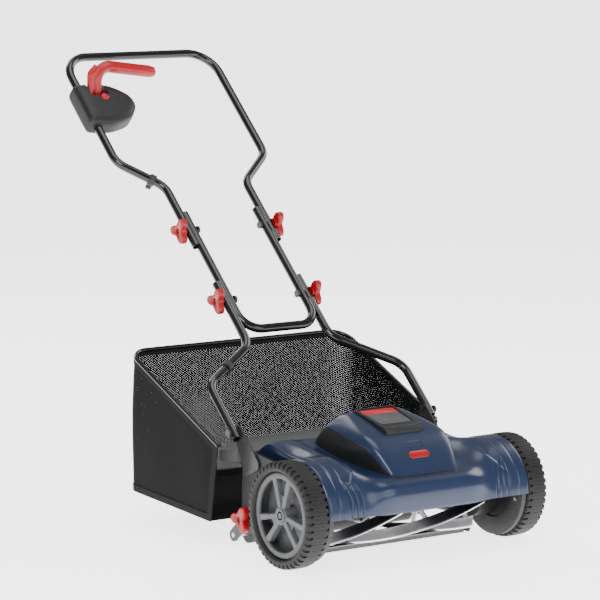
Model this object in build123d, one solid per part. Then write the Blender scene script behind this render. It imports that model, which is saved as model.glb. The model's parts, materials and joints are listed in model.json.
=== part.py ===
from build123d import *
import math
import os

# Cordless reel mower with a rear grass bag and a folding three-piece handle.
#
# Millimetres. The origin is on the ground, midway between the wheels, under the wheel axle.
# +Z is up, -Y is the way the mower is pushed, +Y is towards the handle. Left is -X and right is +X,
# as seen by someone who stands in front of the mower.

# ---------------------------------------------------------------- driving dimensions
half_width = 301.0            # centre line to the outer face of a tyre
tyre_radius = 108.0
tyre_width = 50.0
rim_radius = 88.0
rim_barrel = 5.0              # thickness of the rim's barrel
hub_radius = 19.0
axle_radius = 6.0
running_fit = 0.05            # radial clearance of a turning fit
loose_fit = 0.3               # gap between curved faces of different bodies
touch_gap = 0.1               # gap between neighbouring faces that move or are sewn

cutting_half = 190.0          # half of the cutting width
plate_gap = 4.0               # blade end to side plate
case_wall = 4.0
disc_thickness = 10.0
disc_recess_radius = 64.0
disc_recess_depth = 3.0
tyre_gap = 2.5                # side disc to tyre

arch_radius = 105.0           # deck arch beside each wheel, about the axle
shoulder_radius = 97.0        # lower arch inboard of it
arch_band = 45.0              # width of the outer arch
shoulder_band = 43.0          # width of the lower arch
deck_wall = 3.5
ridge_y = 155.0               # rear ridge of the deck
ridge_rise = 17.0             # ridge above the top of the arch
deck_rear = 208.0

reel_radius = 61.0
reel_y = 19.0
cut_height = 24.5             # lowest point of the reel above the ground
blade_count = 5
blade_width = 24.0
blade_thickness = 3.0
blade_twist = 127.0           # degrees of helix from end to end
blade_phase = 164.0           # angle of the first blade at mid width
blade_rake = 24.0             # blade leans back from the radius
spider_count = 4
spider_thickness = 3.0
reel_pulley_radius = 40.0

motor_radius = 25.0
motor_length = 85.0
motor_y = 70.0
motor_drop = 45.0             # motor axis below the top of the arch
motor_shaft_radius = 4.0
motor_pulley_radius = 9.0
belt_width = 10.0
belt_thickness = 2.5

roller_radius = 21.0
roller_y = 245.0
roller_half = 205.0
roller_rod_radius = 5.0
height_knob_y = 200.0
height_knob_z = 63.0
height_travel = 20.0
height_bolt_radius = 4.0
arm_plate = 5.5
rear_plate = 7.0

tube_diameter = 19.0
tube_wall = 1.2
handle_lean = 46.02           # degrees from vertical
pivot_y = 228.0               # lower handle pivot
pivot_rise = 23.0             # pivot above the top of the arch
bracket_plate = 4.0
pivot_bolt_radius = 4.0
joint_plane = 100.0           # half distance between the two joint faces
flat_depth = 5.4              # tube centre line to the flattened joint face
joint_bolt_radius = 3.0
tube_overlap = 46.0           # tube end past a joint bolt
clip_offset = 32.0            # cable clip from the elbow beside it

# lengths along the handle, from the lower pivot
foot_tail = 15.0
low_elbow_wide = 125.0
low_elbow_narrow = 217.5
cross_bar = 256.0
joint_low = 339.6
joint_high = 535.3
high_elbow_narrow = 660.4
high_elbow_wide = 736.7
grip_bar = 1047.9
grip_half = 195.5             # half distance between the wide tubes
elbow_radius = 45.0
grip_radius = 62.0

knob_reach = 22.0             # knob centre to the centre of a lobe
knob_lobe = 9.0
knob_core = 14.0
knob_thickness = 14.0
knob_neck = 4.0

box_length = 108.0            # switch box, along the handle
box_top = 951.0               # upper end of the switch box
box_reach = 122.0             # switch box, across the handle
box_front = 27.0
box_back = 28.0
box_wall = 2.6
bail_pivot_from_top = 29.0
bail_arm_width = 16.0
bail_arm_thickness = 12.0
bail_bar_radius = 11.5
bail_reach = 75.0
bail_angle = 46.0
bail_pin_radius = 3.0
button_radius = 9.5
button_travel = 3.0

battery_half = 46.0
battery_length = 112.0
battery_depth = 54.0
battery_tilt = 13.6
battery_y = 36.0
battery_rise = 58.5           # battery top face above the top of the arch
bay_wall = 3.0
bay_gap = 0.5
hood_wall = 3.0
latch_half = 20.0

bag_margin = 16.0             # side of the bag inside the outer face of the tyre
bag_half = half_width - bag_margin
bag_cloth = 2.0
bag_wire_radius = 4.3
bag_back_y = 578.0
bag_top_rise = 151.5          # rear rim above the top of the arch
bag_mouth_y = 240.0
bag_mouth_drop = 2.0          # front end of the rim below the top of the arch
bag_front_y = 267.5
bag_front_z = 49.5
bag_floor_rise = 19.5
bag_corner = 42.0

deflector_reach = 192.0
deflector_half = 248.0
deflector_nose = 118.0
deflector_wall = 3.0
deflector_lip = 24.0
deflector_slope = 3.0

# ---------------------------------------------------------------- places worked out from them
axle_z = tyre_radius
arch_top = axle_z + arch_radius
tyre_inner = half_width - tyre_width
disc_outer = tyre_inner - tyre_gap
disc_inner = disc_outer - disc_thickness
deck_half = disc_outer + 2.0
plate_inner = cutting_half + plate_gap
rear_outer = disc_inner - 2.5
rear_inner = rear_outer - rear_plate
wing_half = rear_inner - 1.0
arch_inner = deck_half - arch_band
shoulder_inner = arch_inner - shoulder_band
reel_z = cut_height + reel_radius
motor_z = arch_top - motor_drop
motor_end = plate_inner - 9.0
pulley_x0 = plate_inner + 12.0
pulley_x1 = pulley_x0 + belt_width + 4.0
tube_radius = tube_diameter / 2
foot_u = rear_outer + bracket_plate + 1.0 + tube_radius
inner_u = joint_plane - touch_gap - flat_depth
outer_u = joint_plane + touch_gap + flat_depth
pivot_z = arch_top + pivot_rise
lean = math.radians(handle_lean)
handle = Plane(
    origin=(0, pivot_y, pivot_z),
    x_dir=(1, 0, 0),
    z_dir=(0, -math.cos(lean), math.sin(lean)),
)


# ---------------------------------------------------------------- helpers
def slab(x0, x1, y0, y1, z0, z1):
    """A block between two corners."""
    return Pos((x0 + x1) / 2, (y0 + y1) / 2, (z0 + z1) / 2) * Box(x1 - x0, y1 - y0, z1 - z0)


def rod_x(radius, x0, x1, y, z):
    """A round bar along X."""
    return Pos((x0 + x1) / 2, y, z) * Rot(0, 90, 0) * Cylinder(radius, x1 - x0)


def ring_x(outer, inner, x0, x1, y, z):
    """A round tube along X."""
    return rod_x(outer, x0, x1, y, z) - rod_x(inner, x0, x1, y, z)


def plate_x(outline, x0, x1):
    """A sketch drawn in the side view, with Y across and Z up, as a plate between two X places."""
    return Pos(x0, 0, 0) * extrude(Plane.YZ * outline, x1 - x0)


def polygon(*points):
    """A closed outline."""
    return make_face(Polyline(*points, close=True))


def hull_of(*circles):
    """The outline of a tight band around circles, each given as (y, z, radius)."""
    edges = [e for y, z, r in circles for e in (Pos(y, z) * Circle(r)).edges()]
    return make_hull(edges)


def other_side(shape):
    """The mirror image on the left of a shape made on the right."""
    return mirror(shape, about=Plane.YZ)


def both(shape):
    """A right-hand shape and its left-hand twin."""
    return [shape, other_side(shape)]


def save(name, *shapes):
    """Writes one node, as a single solid or a group of separate ones."""
    solids = [s for shape in shapes for s in shape.solids()]
    body = solids[0] if len(solids) == 1 else Compound(solids)
    export_step(body, os.path.join("parts", name + ".step"))


def on_handle(u, v, w=0.0):
    """A point given across, along and in front of the handle's plane."""
    return handle.from_local_coords((u, v, w))


def handle_block(u0, u1, v0, v1, w0, w1):
    """A block in the handle's own directions."""
    centre = Pos((u0 + u1) / 2, (v0 + v1) / 2, (w0 + w1) / 2)
    return handle.location * centre * Box(u1 - u0, v1 - v0, w1 - w0)


def handle_rod(radius, u0, u1, v, w=0.0):
    """A round bar along X at a place on the handle."""
    middle = on_handle(0, v, w)
    return rod_x(radius, u0, u1, middle.Y, middle.Z)


def bent_rod(points, radii, radius):
    """A round bar that follows points on the handle, with a bend at each inner one."""
    path = handle.location * FilletPolyline(*points, radius=radii)
    rod = Part()
    for edge in path.edges():
        section = Plane(origin=edge @ 0, z_dir=edge % 0) * Circle(radius)
        if edge.geom_type == GeomType.LINE:
            rod += extrude(section, edge.length)
        else:
            rod += sweep(section, path=edge)
    return rod


def bent_tube(points, radii, flats):
    """A bent tube whose joint faces are flattened; flats are (side, from, to) along the handle."""
    outside = bent_rod(points, radii, tube_radius)
    inside = bent_rod(points, radii, tube_radius - tube_wall)
    for side, face, start, stop in flats:
        skin = side * tube_wall
        far = face + side * 3 * tube_radius
        u0, u1 = sorted((face, far))
        outside -= handle_block(u0, u1, start, stop, -2 * tube_radius, 2 * tube_radius)
        u0, u1 = sorted((face - skin, far))
        inside -= handle_block(
            u0, u1, start - tube_wall, stop + tube_wall, -2 * tube_radius, 2 * tube_radius
        )
    return outside - inside


# ---------------------------------------------------------------- wheels
def tyre():
    body = ring_x(tyre_radius, rim_radius, tyre_inner, half_width, 0, axle_z)
    shoulder = [e for e in body.edges().filter_by(GeomType.CIRCLE) if e.radius > rim_radius + 1]
    return chamfer(shoulder, 4.0)


def rim():
    x0 = tyre_inner + 2.0
    x1 = half_width - 4.0
    barrel = ring_x(rim_radius, rim_radius - rim_barrel, x0, x1, 0, axle_z)
    hub = rod_x(hub_radius, x0, x1, 0, axle_z)
    rib = slab(x1 - 20, x1 - 4, -4.5, 4.5, hub_radius - 4, rim_radius - rim_barrel / 2)
    spokes = Part()
    for spoke in range(3):
        for lean_way in (-1, 1):
            turned = Rot(120 * spoke + 90 + 11 * lean_way, 0, 0) * Pos(0, 9.0 * lean_way, 0) * rib
            spokes += Pos(0, 0, axle_z) * turned
    bore = rod_x(axle_radius + 3.0, x0 - 1, x1 + 1, 0, axle_z)
    return barrel + hub + spokes - bore


def wheel_bushes():
    x0 = tyre_inner + 2.0
    x1 = half_width - 4.0
    inner = ring_x(axle_radius + 3.0, axle_radius + running_fit, x0, x0 + 12, 0, axle_z)
    outer = ring_x(axle_radius + 3.0, axle_radius + running_fit, x1 - 12, x1, 0, axle_z)
    return inner + outer


def hub_cap():
    cap = rod_x(hub_radius - 2.0, half_width - 4.0, half_width, 0, axle_z)
    return chamfer(cap.edges().group_by(Axis.X)[-1], 1.5)


def wheel_axle():
    return rod_x(axle_radius, disc_inner - 12, half_width - 5.0, 0, axle_z)


# ---------------------------------------------------------------- deck, hood and side plates
def arch_outline(radius, rise):
    """Side view of the deck where it follows a wheel arch, filled down to below the axle."""
    top = axle_z + radius
    low = axle_z - 60
    front = Line((-radius, low), (-radius, axle_z))
    arch = CenterArc((0, axle_z), radius, 180, -90)
    rear = Polyline((0, top), (ridge_y, arch_top + rise), (deck_rear, arch_top - 15), (deck_rear, low))
    floor_line = Line((deck_rear, low), (-radius, low))
    return make_face(front.edges() + arch.edges() + rear.edges() + floor_line.edges())


def centre_outline():
    """Side view of the deck between the shoulders, filled down to below the axle."""
    low = axle_z - 60
    points = (
        (-107, low),
        (-107, axle_z + 6),
        (-113, axle_z + 26),
        (-110, arch_top - 56),
        (-96, arch_top - 38),
        (-60, arch_top - 26),
        (40, arch_top - 11),
        (ridge_y, arch_top + 6),
        (deck_rear, arch_top - 16),
        (deck_rear, low),
    )
    return make_face(FilletPolyline(*points, radius=6.0, close=True))


def deck_zone(outline, x0, x1):
    """One stretch of the deck's shell."""
    return plate_x(outline - offset(outline, -deck_wall), x0, x1)


def deck_step(first, second, x):
    """The wall that joins two stretches of the deck."""
    inner = offset(first, -deck_wall) & offset(second, -deck_wall)
    return plate_x((first + second) - inner, x - deck_wall, x)


def deck_housing():
    arch = arch_outline(arch_radius, ridge_rise)
    shoulder = arch_outline(shoulder_radius, ridge_rise - 6)
    centre = centre_outline()
    half = deck_zone(arch, arch_inner, deck_half)
    half += deck_zone(shoulder, shoulder_inner, arch_inner)
    half += deck_step(arch, shoulder, arch_inner)
    half += deck_step(shoulder, centre, shoulder_inner)
    skirt = polygon(
        (-200, -50), (-200, axle_z - 1), (0, axle_z - 1), (300, arch_top - 25), (300, -50)
    )
    half -= plate_x(skirt, 0, deck_half + 1)
    half -= slab(wing_half, deck_half + 1, tyre_radius * 0.93, deck_rear + 1, 0, arch_top + 60)
    middle = deck_zone(centre, -shoulder_inner + deck_wall, shoulder_inner - deck_wall)
    front = polygon(
        (-200, -50), (-200, axle_z + 6), (0, axle_z + 6), (300, arch_top - 25), (300, -50)
    )
    middle -= plate_x(front, -shoulder_inner, shoulder_inner)
    return middle + half + other_side(half)


def hood_solid(inset):
    """The outside form of the hood, drawn in by a wall."""
    side = offset(
        polygon(
            (-98, arch_top - 60),
            (-98, arch_top - 36),
            (-80, arch_top - 22),
            (-52, arch_top + 14),
            (-24, arch_top + 34),
            (95, arch_top + 69),
            (112, arch_top + 64),
            (150, arch_top - 4),
            (150, arch_top - 60),
        ),
        -inset,
    )
    front = offset(
        polygon(
            (-124, arch_top - 60),
            (-120, arch_top - 2),
            (-101, arch_top + 38),
            (-62, arch_top + 74),
            (62, arch_top + 74),
            (101, arch_top + 38),
            (120, arch_top - 2),
            (124, arch_top - 60),
        ),
        -inset,
    )
    plan = offset(
        polygon(
            (-76, -100), (-92, -70), (-112, 0), (-124, 152), (124, 152), (112, 0), (92, -70), (76, -100)
        ),
        -inset,
    )
    along = plate_x(side, -130, 130)
    across = Pos(0, 200, 0) * extrude(Plane.XZ * front, 400)
    down = Pos(0, 0, arch_top - 100) * extrude(plan, 250)
    return along & across & down


def above_seam(lift):
    """Everything above the seam between the hood's base and its cover."""
    low = arch_top - 26 + lift
    seam = polygon(
        (-150, low),
        (-84, low),
        (-46, arch_top + 12 + lift),
        (-20, arch_top + 26 + lift),
        (100, arch_top + 45 + lift),
        (160, arch_top + 47 + lift),
        (160, arch_top + 120),
        (-150, arch_top + 120),
    )
    return plate_x(seam, -140, 140)


battery_place = Plane(
    origin=(0, battery_y, arch_top + battery_rise),
    x_dir=(1, 0, 0),
    z_dir=(0, -math.sin(math.radians(battery_tilt)), math.cos(math.radians(battery_tilt))),
)


def bay_block(gap, depth, height):
    """A block around the battery, wider by a gap on every side, in the battery's own directions."""
    width = 2 * (battery_half + gap)
    length = battery_length + 2 * gap
    return (
        battery_place.location
        * Pos(0, 0, (height - depth) / 2)
        * Box(width, length, height + depth)
    )


def latch_block(gap):
    """The battery latch, or the pocket that it moves in."""
    base = arch_top + 11
    return slab(-latch_half - gap, latch_half + gap, -50 - gap, -40 + gap, base - 12 - gap, base + 18)


def hood_parts():
    shell = hood_solid(0) - hood_solid(hood_wall)
    under_deck = plate_x(centre_outline(), -shoulder_inner, shoulder_inner)
    tub = bay_block(bay_gap + bay_wall, battery_depth + bay_gap + bay_wall, 40) & hood_solid(0)
    well = bay_block(bay_gap, battery_depth + bay_gap, 80)
    base = shell - above_seam(-touch_gap) - under_deck - tub
    cover = ((shell & above_seam(0)) + tub) - well - latch_block(bay_gap)
    keep = max(base.solids(), key=lambda s: s.volume)
    cover_keep = max(cover.solids(), key=lambda s: s.volume)
    return keep, cover_keep


def battery_pack():
    block = bay_block(0, battery_depth, 0)
    top = block.faces().sort_by(Axis((0, 0, 0), battery_place.z_dir))[-1]
    return chamfer(top.edges(), 2.0)


def control_board():
    """A flat board fixed under the battery's bay."""
    top = -battery_depth - bay_gap - bay_wall
    return battery_place.location * Pos(0, 0, top - 1.0) * Box(70, 60, 2.0)


def drive_case(grow):
    """Side view of the case around both pulleys."""
    return hull_of(
        (reel_y, reel_z, reel_pulley_radius + 5 + grow),
        (motor_y, motor_z, motor_pulley_radius + 6 + grow),
    )


def plain_case(grow):
    """Side view of the smaller case on the side with no belt."""
    return hull_of((reel_y, reel_z, 34 + grow), (reel_y + 30, reel_z + 34, 26 + grow))


def side_plate(case_view):
    """One side's casing: a round guard beside the wheel, a case, and a tail plate."""
    face = disc_inner + disc_recess_depth
    guard = rod_x(arch_radius - deck_wall - 1.0, disc_inner, disc_outer, 0, axle_z)
    guard -= rod_x(disc_recess_radius, disc_inner, face, 0, axle_z)
    case = plate_x(case_view(case_wall), plate_inner, face)
    room = plate_x(case_view(0), plate_inner + case_wall, face)
    body = guard + case - room
    body += rod_x(20.0, plate_inner, plate_inner + 9, reel_y, reel_z)
    body += rod_x(axle_radius + 7, disc_inner - 12, face + 2, 0, axle_z)
    foot = polygon((20, 14), (66, 14), (70, 48), (40, 60), (10, 40))
    body += plate_x(foot, plate_inner, plate_inner + case_wall)
    tail = polygon(
        (60, axle_z + 20),
        (70, 42),
        (height_knob_y + 14, 30),
        (height_knob_y + 22, 80),
        (pivot_y - 10, arch_top - 20),
        (pivot_y - 22, arch_top - 8),
        (90, arch_top - 22),
    )
    body += plate_x(tail, rear_inner, rear_outer)
    shelf = polygon((60, axle_z - 10), (78, axle_z - 14), (92, axle_z + 34), (70, axle_z + 44))
    body += plate_x(shelf, plate_inner, disc_outer - 1) - room
    body -= rod_x(14.0, plate_inner - 1, plate_inner + 8, reel_y, reel_z)
    body -= rod_x(axle_radius + 2, plate_inner - 1, plate_inner + 10, reel_y, reel_z)
    body -= rod_x(motor_shaft_radius + 1, plate_inner - 1, plate_inner + case_wall + 1, motor_y, motor_z)
    body -= rod_x(axle_radius, disc_inner - 13, disc_outer + 1, 0, axle_z)
    slot_radius = height_bolt_radius + loose_fit
    low = height_knob_z - height_travel
    body -= slab(
        rear_inner - 1, rear_outer + 1,
        height_knob_y - slot_radius, height_knob_y + slot_radius,
        low, height_knob_z,
    )
    for z in (low, height_knob_z):
        body -= rod_x(slot_radius, rear_inner - 1, rear_outer + 1, height_knob_y, z)
    return body


# ---------------------------------------------------------------- reel, bedknife and drive
def reel_shaft():
    end = plate_inner + 10
    return rod_x(axle_radius, -pulley_x1 - 1, end, reel_y, reel_z)


def reel_spiders(blades):
    """Star plates, notched for the blades that are welded into them."""
    stars = []
    spread = 2 * cutting_half - 30
    for place in range(spider_count):
        x = -spread / 2 + place * spread / (spider_count - 1)
        turn = blade_phase - blade_twist * x / (2 * cutting_half)
        star = rod_x(14.0, x - spider_thickness / 2, x + spider_thickness / 2, reel_y, reel_z)
        for blade in range(blade_count):
            reach = reel_radius - blade_width + 3
            arm = slab(x - spider_thickness / 2, x + spider_thickness / 2, 10, reach, -6, 6)
            star += Pos(0, reel_y, reel_z) * Rot(turn + 360 / blade_count * blade, 0, 0) * arm
        star -= rod_x(axle_radius, x - 10, x + 10, reel_y, reel_z)
        for blade in blades:
            star -= blade
        stars.append(star)
    return stars


def reel_blades():
    """Helical blades, each one a raked bar twisted along the reel."""
    start = Plane(origin=(-cutting_half + 2, reel_y, reel_z), x_dir=(0, 1, 0), z_dir=(1, 0, 0))
    length = 2 * cutting_half - 4
    twist = -blade_twist * length / (2 * cutting_half)
    blades = []
    for blade in range(blade_count):
        turn = blade_phase + blade_twist / 2 + 360 / blade_count * blade
        rake = math.radians(blade_rake)
        middle = reel_radius - blade_width / 2 * math.cos(rake) - 0.6
        section = Rot(0, 0, turn) * Pos(middle, 0) * Rot(0, 0, blade_rake)
        face = (start.location * section * Rectangle(blade_width, blade_thickness)).faces()[0]
        blades.append(
            Solid.extrude_linear_with_rotation(face, start.origin, (length, 0, 0), twist)
        )
    return blades


def pulley(radius, bore, y, z):
    """A flanged pulley on the left-hand side."""
    flange = 2.0
    wheel = rod_x(radius, pulley_x0, pulley_x1, y, z)
    wheel += rod_x(radius + belt_thickness + 1.5, pulley_x0, pulley_x0 + flange - touch_gap, y, z)
    wheel += rod_x(radius + belt_thickness + 1.5, pulley_x1 - flange + touch_gap, pulley_x1, y, z)
    return other_side(wheel - rod_x(bore, pulley_x0 - 1, pulley_x1 + 1, y, z))


def drive_belt():
    def loop(extra):
        return hull_of(
            (reel_y, reel_z, reel_pulley_radius + extra), (motor_y, motor_z, motor_pulley_radius + extra)
        )
    band = loop(loose_fit + belt_thickness) - loop(loose_fit)
    return other_side(plate_x(band, pulley_x0 + 2, pulley_x0 + 2 + belt_width))


def motor_can():
    """Motor body on the left, with its field ring and end walls."""
    start = motor_end - motor_length
    can = rod_x(motor_radius, start, motor_end, motor_y, motor_z)
    can -= rod_x(motor_radius - 6, start + 4, motor_end - 4, motor_y, motor_z)
    can += rod_x(12.0, motor_end, plate_inner, motor_y, motor_z)
    can -= rod_x(motor_shaft_radius + running_fit, start - 1, plate_inner + 1, motor_y, motor_z)
    return other_side(can)


def motor_shaft():
    start = motor_end - motor_length
    return other_side(rod_x(motor_shaft_radius, start + 1, pulley_x1 + 2, motor_y, motor_z))


def rotor_core():
    start = motor_end - motor_length
    return other_side(
        ring_x(motor_radius - 7, motor_shaft_radius, start + 8, motor_end - 8, motor_y, motor_z)
    )


def reel_bearings():
    return both(
        ring_x(14.0, axle_radius + running_fit, plate_inner, plate_inner + 8, reel_y, reel_z)
    )


def bedknife():
    """A thin steel blade just under the reel, its edge a hair below the blades."""
    top = cut_height - 0.4
    edge_y, back_y = reel_y + 2, reel_y + 40
    outline = polygon((edge_y, top), (back_y, top - 4), (back_y, top - 7), (edge_y, top - 2.5))
    return plate_x(outline, -plate_inner, plate_inner)


def bed_bar():
    """The cast bar that the bedknife is screwed to."""
    top = cut_height - 7.4
    outline = polygon(
        (reel_y + 12, top + 3.0),
        (reel_y + 40, top),
        (reel_y + 40.1, top + 14),
        (reel_y + 47, top + 14),
        (reel_y + 47, top - 7),
        (reel_y + 16, top - 7),
    )
    return plate_x(outline, -plate_inner, plate_inner)


# ---------------------------------------------------------------- rear roller and its height setting
def roller_arm():
    outline = hull_of((height_knob_y, height_knob_z, 11), (roller_y, roller_radius, 13))
    arm = plate_x(outline, rear_outer + touch_gap, rear_outer + arm_plate)
    arm -= rod_x(height_bolt_radius, rear_outer, rear_outer + arm_plate + 1, height_knob_y, height_knob_z)
    return arm - rod_x(roller_rod_radius, rear_outer, rear_outer + arm_plate + 1, roller_y, roller_radius)


def roller_rod():
    end = rear_outer + arm_plate
    return rod_x(roller_rod_radius, -end, end, roller_y, roller_radius)


def roller():
    bore = roller_rod_radius + running_fit
    return ring_x(roller_radius, bore, -roller_half, roller_half, roller_y, roller_radius)


def height_bolt():
    head = rod_x(9.0, rear_inner - 5, rear_inner - touch_gap, height_knob_y, height_knob_z)
    end = rear_outer + arm_plate + knob_neck + knob_thickness - 3
    shank = rod_x(height_bolt_radius, rear_inner - 3, end, height_knob_y, height_knob_z)
    return head + shank


def lobed_knob(bolt_radius, x, y, z):
    """A three-lobed hand knob on a bolt along X, its neck starting at x."""
    outline = Circle(knob_core)
    for lobe in range(3):
        tip = Rot(0, 0, 120 * lobe + 180) * Pos(knob_reach, 0) * Circle(knob_lobe)
        waist = Circle(knob_lobe + 2)
        outline += make_hull(tip.edges() + waist.edges())
    body = plate_x(outline, x + knob_neck, x + knob_neck + knob_thickness)
    rims = body.edges().group_by(Axis.X)[0] + body.edges().group_by(Axis.X)[-1]
    body = chamfer(rims, 1.5)
    body += rod_x(knob_core - 3, x, x + knob_neck + 1, 0, 0)
    body -= rod_x(bolt_radius + running_fit, x - 1, x + knob_neck + knob_thickness + 1, 0, 0)
    return Pos(0, y, z) * body


# ---------------------------------------------------------------- handle
def pivot_bracket():
    """The steel ear that carries the foot of a handle tube."""
    outline = hull_of(
        (pivot_y, pivot_z, 14),
        (pivot_y - 60, arch_top - 35, 12),
        (pivot_y - 30, arch_top - 50, 12),
    )
    ear = plate_x(outline, rear_outer, rear_outer + bracket_plate)
    return ear - rod_x(pivot_bolt_radius, rear_outer - 1, rear_outer + bracket_plate + 1, pivot_y, pivot_z)


def pivot_bolt():
    far = foot_u + tube_radius + 1
    bolt = rod_x(pivot_bolt_radius, rear_outer, far + 2, pivot_y, pivot_z)
    return bolt + rod_x(8.0, far, far + 5, pivot_y, pivot_z)


flat_run_in = 33.0
low_flat = (1, cross_bar + flat_run_in - tube_diameter, joint_low + tube_overlap + 4)
high_flat = (1, joint_high - tube_overlap - 4, joint_high + tube_overlap + 4)


def lower_tube():
    points = [
        (foot_u, -foot_tail),
        (foot_u, low_elbow_wide),
        (outer_u, low_elbow_narrow),
        (outer_u, joint_low + tube_overlap),
    ]
    face = joint_plane + touch_gap
    tube = bent_tube(points, [elbow_radius] * 2, [(-1, face, low_flat[1], low_flat[2])])
    tube -= handle_rod(joint_bolt_radius + running_fit, 0, 3 * outer_u, joint_low)
    return tube - handle_rod(pivot_bolt_radius + running_fit, 0, 2 * foot_u, 0)


def middle_frame():
    top = joint_high + tube_overlap
    points = [(-inner_u, top), (-inner_u, cross_bar), (inner_u, cross_bar), (inner_u, top)]
    face = joint_plane - touch_gap
    flats = [(side, side * face, start, stop) for side in (-1, 1) for _, start, stop in (low_flat, high_flat)]
    frame = bent_tube(points, [elbow_radius] * 2, flats)
    for joint in (joint_low, joint_high):
        frame -= handle_rod(joint_bolt_radius, -2 * inner_u, 2 * inner_u, joint)
    return frame


def upper_handle():
    right = [
        (outer_u, joint_high - tube_overlap),
        (outer_u, high_elbow_narrow),
        (grip_half, high_elbow_wide),
        (grip_half, grip_bar),
    ]
    left = [(-u, v) for u, v in reversed(right)]
    radii = [elbow_radius, elbow_radius, grip_radius, grip_radius, elbow_radius, elbow_radius]
    face = joint_plane + touch_gap
    flats = [(-side, side * face, high_flat[1], high_flat[2]) for side in (-1, 1)]
    tube = bent_tube(right + left, radii, flats)
    return tube - handle_rod(joint_bolt_radius + running_fit, -2 * outer_u, 2 * outer_u, joint_high)


def joint_bolt(v):
    """A round-headed bolt from inside, through both tubes, into its knob."""
    inside = inner_u - tube_radius
    end = outer_u + tube_radius + loose_fit + knob_neck + knob_thickness - 3
    return handle_rod(8.0, inside - 6, inside, v) + handle_rod(joint_bolt_radius, inside - 1, end, v)


def joint_knob(v):
    place = on_handle(0, v)
    return lobed_knob(joint_bolt_radius, outer_u + tube_radius + loose_fit, place.Y, place.Z)


def tube_clip(start, end, distance):
    """A plastic ring around a straight stretch of tube, with an eye for the cable."""
    ring = Cylinder(tube_radius + 3.5, 14) - Cylinder(tube_radius, 15)
    reach = tube_radius + 9
    eye = Pos(0, reach, 0) * (Cylinder(7, 12) - Cylinder(4, 13))
    stem = Pos(0, tube_radius + 3.4, 0) * Box(6, 3, 12)
    span = math.dist(start, end)
    u = start[0] + (end[0] - start[0]) * distance / span
    v = start[1] + (end[1] - start[1]) * distance / span
    turn = math.degrees(math.atan2(end[1] - start[1], end[0] - start[0])) - 90
    return handle.location * Pos(u, v, 0) * Rot(0, 0, turn) * Rot(-90, 0, 0) * (ring + eye + stem)


# ---------------------------------------------------------------- switch box, bail and button
box_bottom = box_top - box_length
box_u0 = -grip_half - tube_radius - 8
box_u1 = box_u0 + box_reach
bail_v = box_top - bail_pivot_from_top
tube_side = -grip_half + tube_radius
button_u = tube_side + 28.5
button_v = bail_v - 16.0
arm_places = (tube_side + 9.5, tube_side + 31.5)


def box_outline(inset):
    """The switch box seen square to the handle: flat beside the tube, rounded inwards."""
    shape = polygon(
        (box_u0, box_bottom + 4),
        (box_u0, box_top - 6),
        (box_u0 + 40, box_top),
        (box_u0 + 78, box_top - 10),
        (box_u1 - 12, box_top - 34),
        (box_u1, box_top - 62),
        (box_u1 - 18, box_bottom + 22),
        (box_u1 - 58, box_bottom),
        (box_u0 + 24, box_bottom),
    )
    return offset(shape, -inset) if inset else shape


def box_half(w0, w1, floor0, floor1):
    """One shell of the switch box between two heights, its floor given inside them."""
    solid = handle.location * Pos(0, 0, w0) * extrude(box_outline(0), w1 - w0)
    room = handle.location * Pos(0, 0, floor0) * extrude(box_outline(box_wall), floor1 - floor0)
    clamp = tube_radius + 3
    core = handle_block(-grip_half - clamp, -grip_half + clamp, box_bottom - 1, box_top + 1, w0, w1)
    middle = Pos(-grip_half, (box_bottom + box_top) / 2, 0) * Rot(90, 0, 0)
    tube_way = handle.location * middle * Cylinder(tube_radius, box_length + 20)
    return (solid - room) + (solid & core) - tube_way


def arm_ways(gap):
    """The space that the bail's arms sweep through the box."""
    ways = []
    for u in arm_places:
        half = bail_arm_width / 2 + gap
        ways.append(handle_block(u - half, u + half, bail_v - 9, box_top + 1, -12, box_front + 1))
    return ways


def switch_box_front():
    shell = box_half(touch_gap, box_front, touch_gap - 1, box_front - box_wall)
    for way in arm_ways(1.0):
        shell -= way
    hole = handle.location * Pos(button_u, button_v, box_front) * Cylinder(button_radius + loose_fit, 30)
    return shell - hole - handle_rod(bail_pin_radius, box_u0 + 4, box_u1 - 4, bail_v)


def switch_box_back():
    shell = box_half(-box_back, 0, -box_back + box_wall, 1)
    for way in arm_ways(1.0):
        shell -= way
    return shell - handle_rod(bail_pin_radius, box_u0 + 4, box_u1 - 4, bail_v)


def bail_pin():
    return handle_rod(bail_pin_radius, arm_places[0] - 9, arm_places[1] + 14, bail_v)


def switch_module():
    """The switch that the bail and the button work together, on the floor of the box."""
    return handle_block(button_u - 16, button_u + 26, button_v - 44, button_v - 14,
                        -box_back + box_wall, -box_back + box_wall + 20)


def bail_lever():
    """Two arms from the pivot pin to a fat bar that lies along the grip."""
    tilt = math.radians(bail_angle)
    tip_v = bail_v + bail_reach * math.cos(tilt)
    tip_w = bail_reach * math.sin(tilt)
    lever = Part()
    for u in arm_places:
        hub = handle_rod(8.0, u - bail_arm_width / 2, u + bail_arm_width / 2, bail_v)
        arm = (
            handle.location
            * Pos(u, bail_v, 0)
            * Rot(bail_angle, 0, 0)
            * Pos(0, bail_reach / 2, 0)
            * Box(bail_arm_width, bail_reach, bail_arm_thickness)
        )
        lever += hub + arm
    start = on_handle(arm_places[0] - bail_arm_width / 2, tip_v, tip_w)
    end = on_handle(-12, tip_v - 14, tip_w - 14)
    bar = Plane(origin=start, z_dir=end - start)
    lever += bar.location * Pos(0, 0, (end - start).length / 2) * Cylinder(
        bail_bar_radius, (end - start).length)
    bore = handle_rod(bail_pin_radius + running_fit, box_u0 - 5, 0, bail_v)
    return lever - bore


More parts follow.
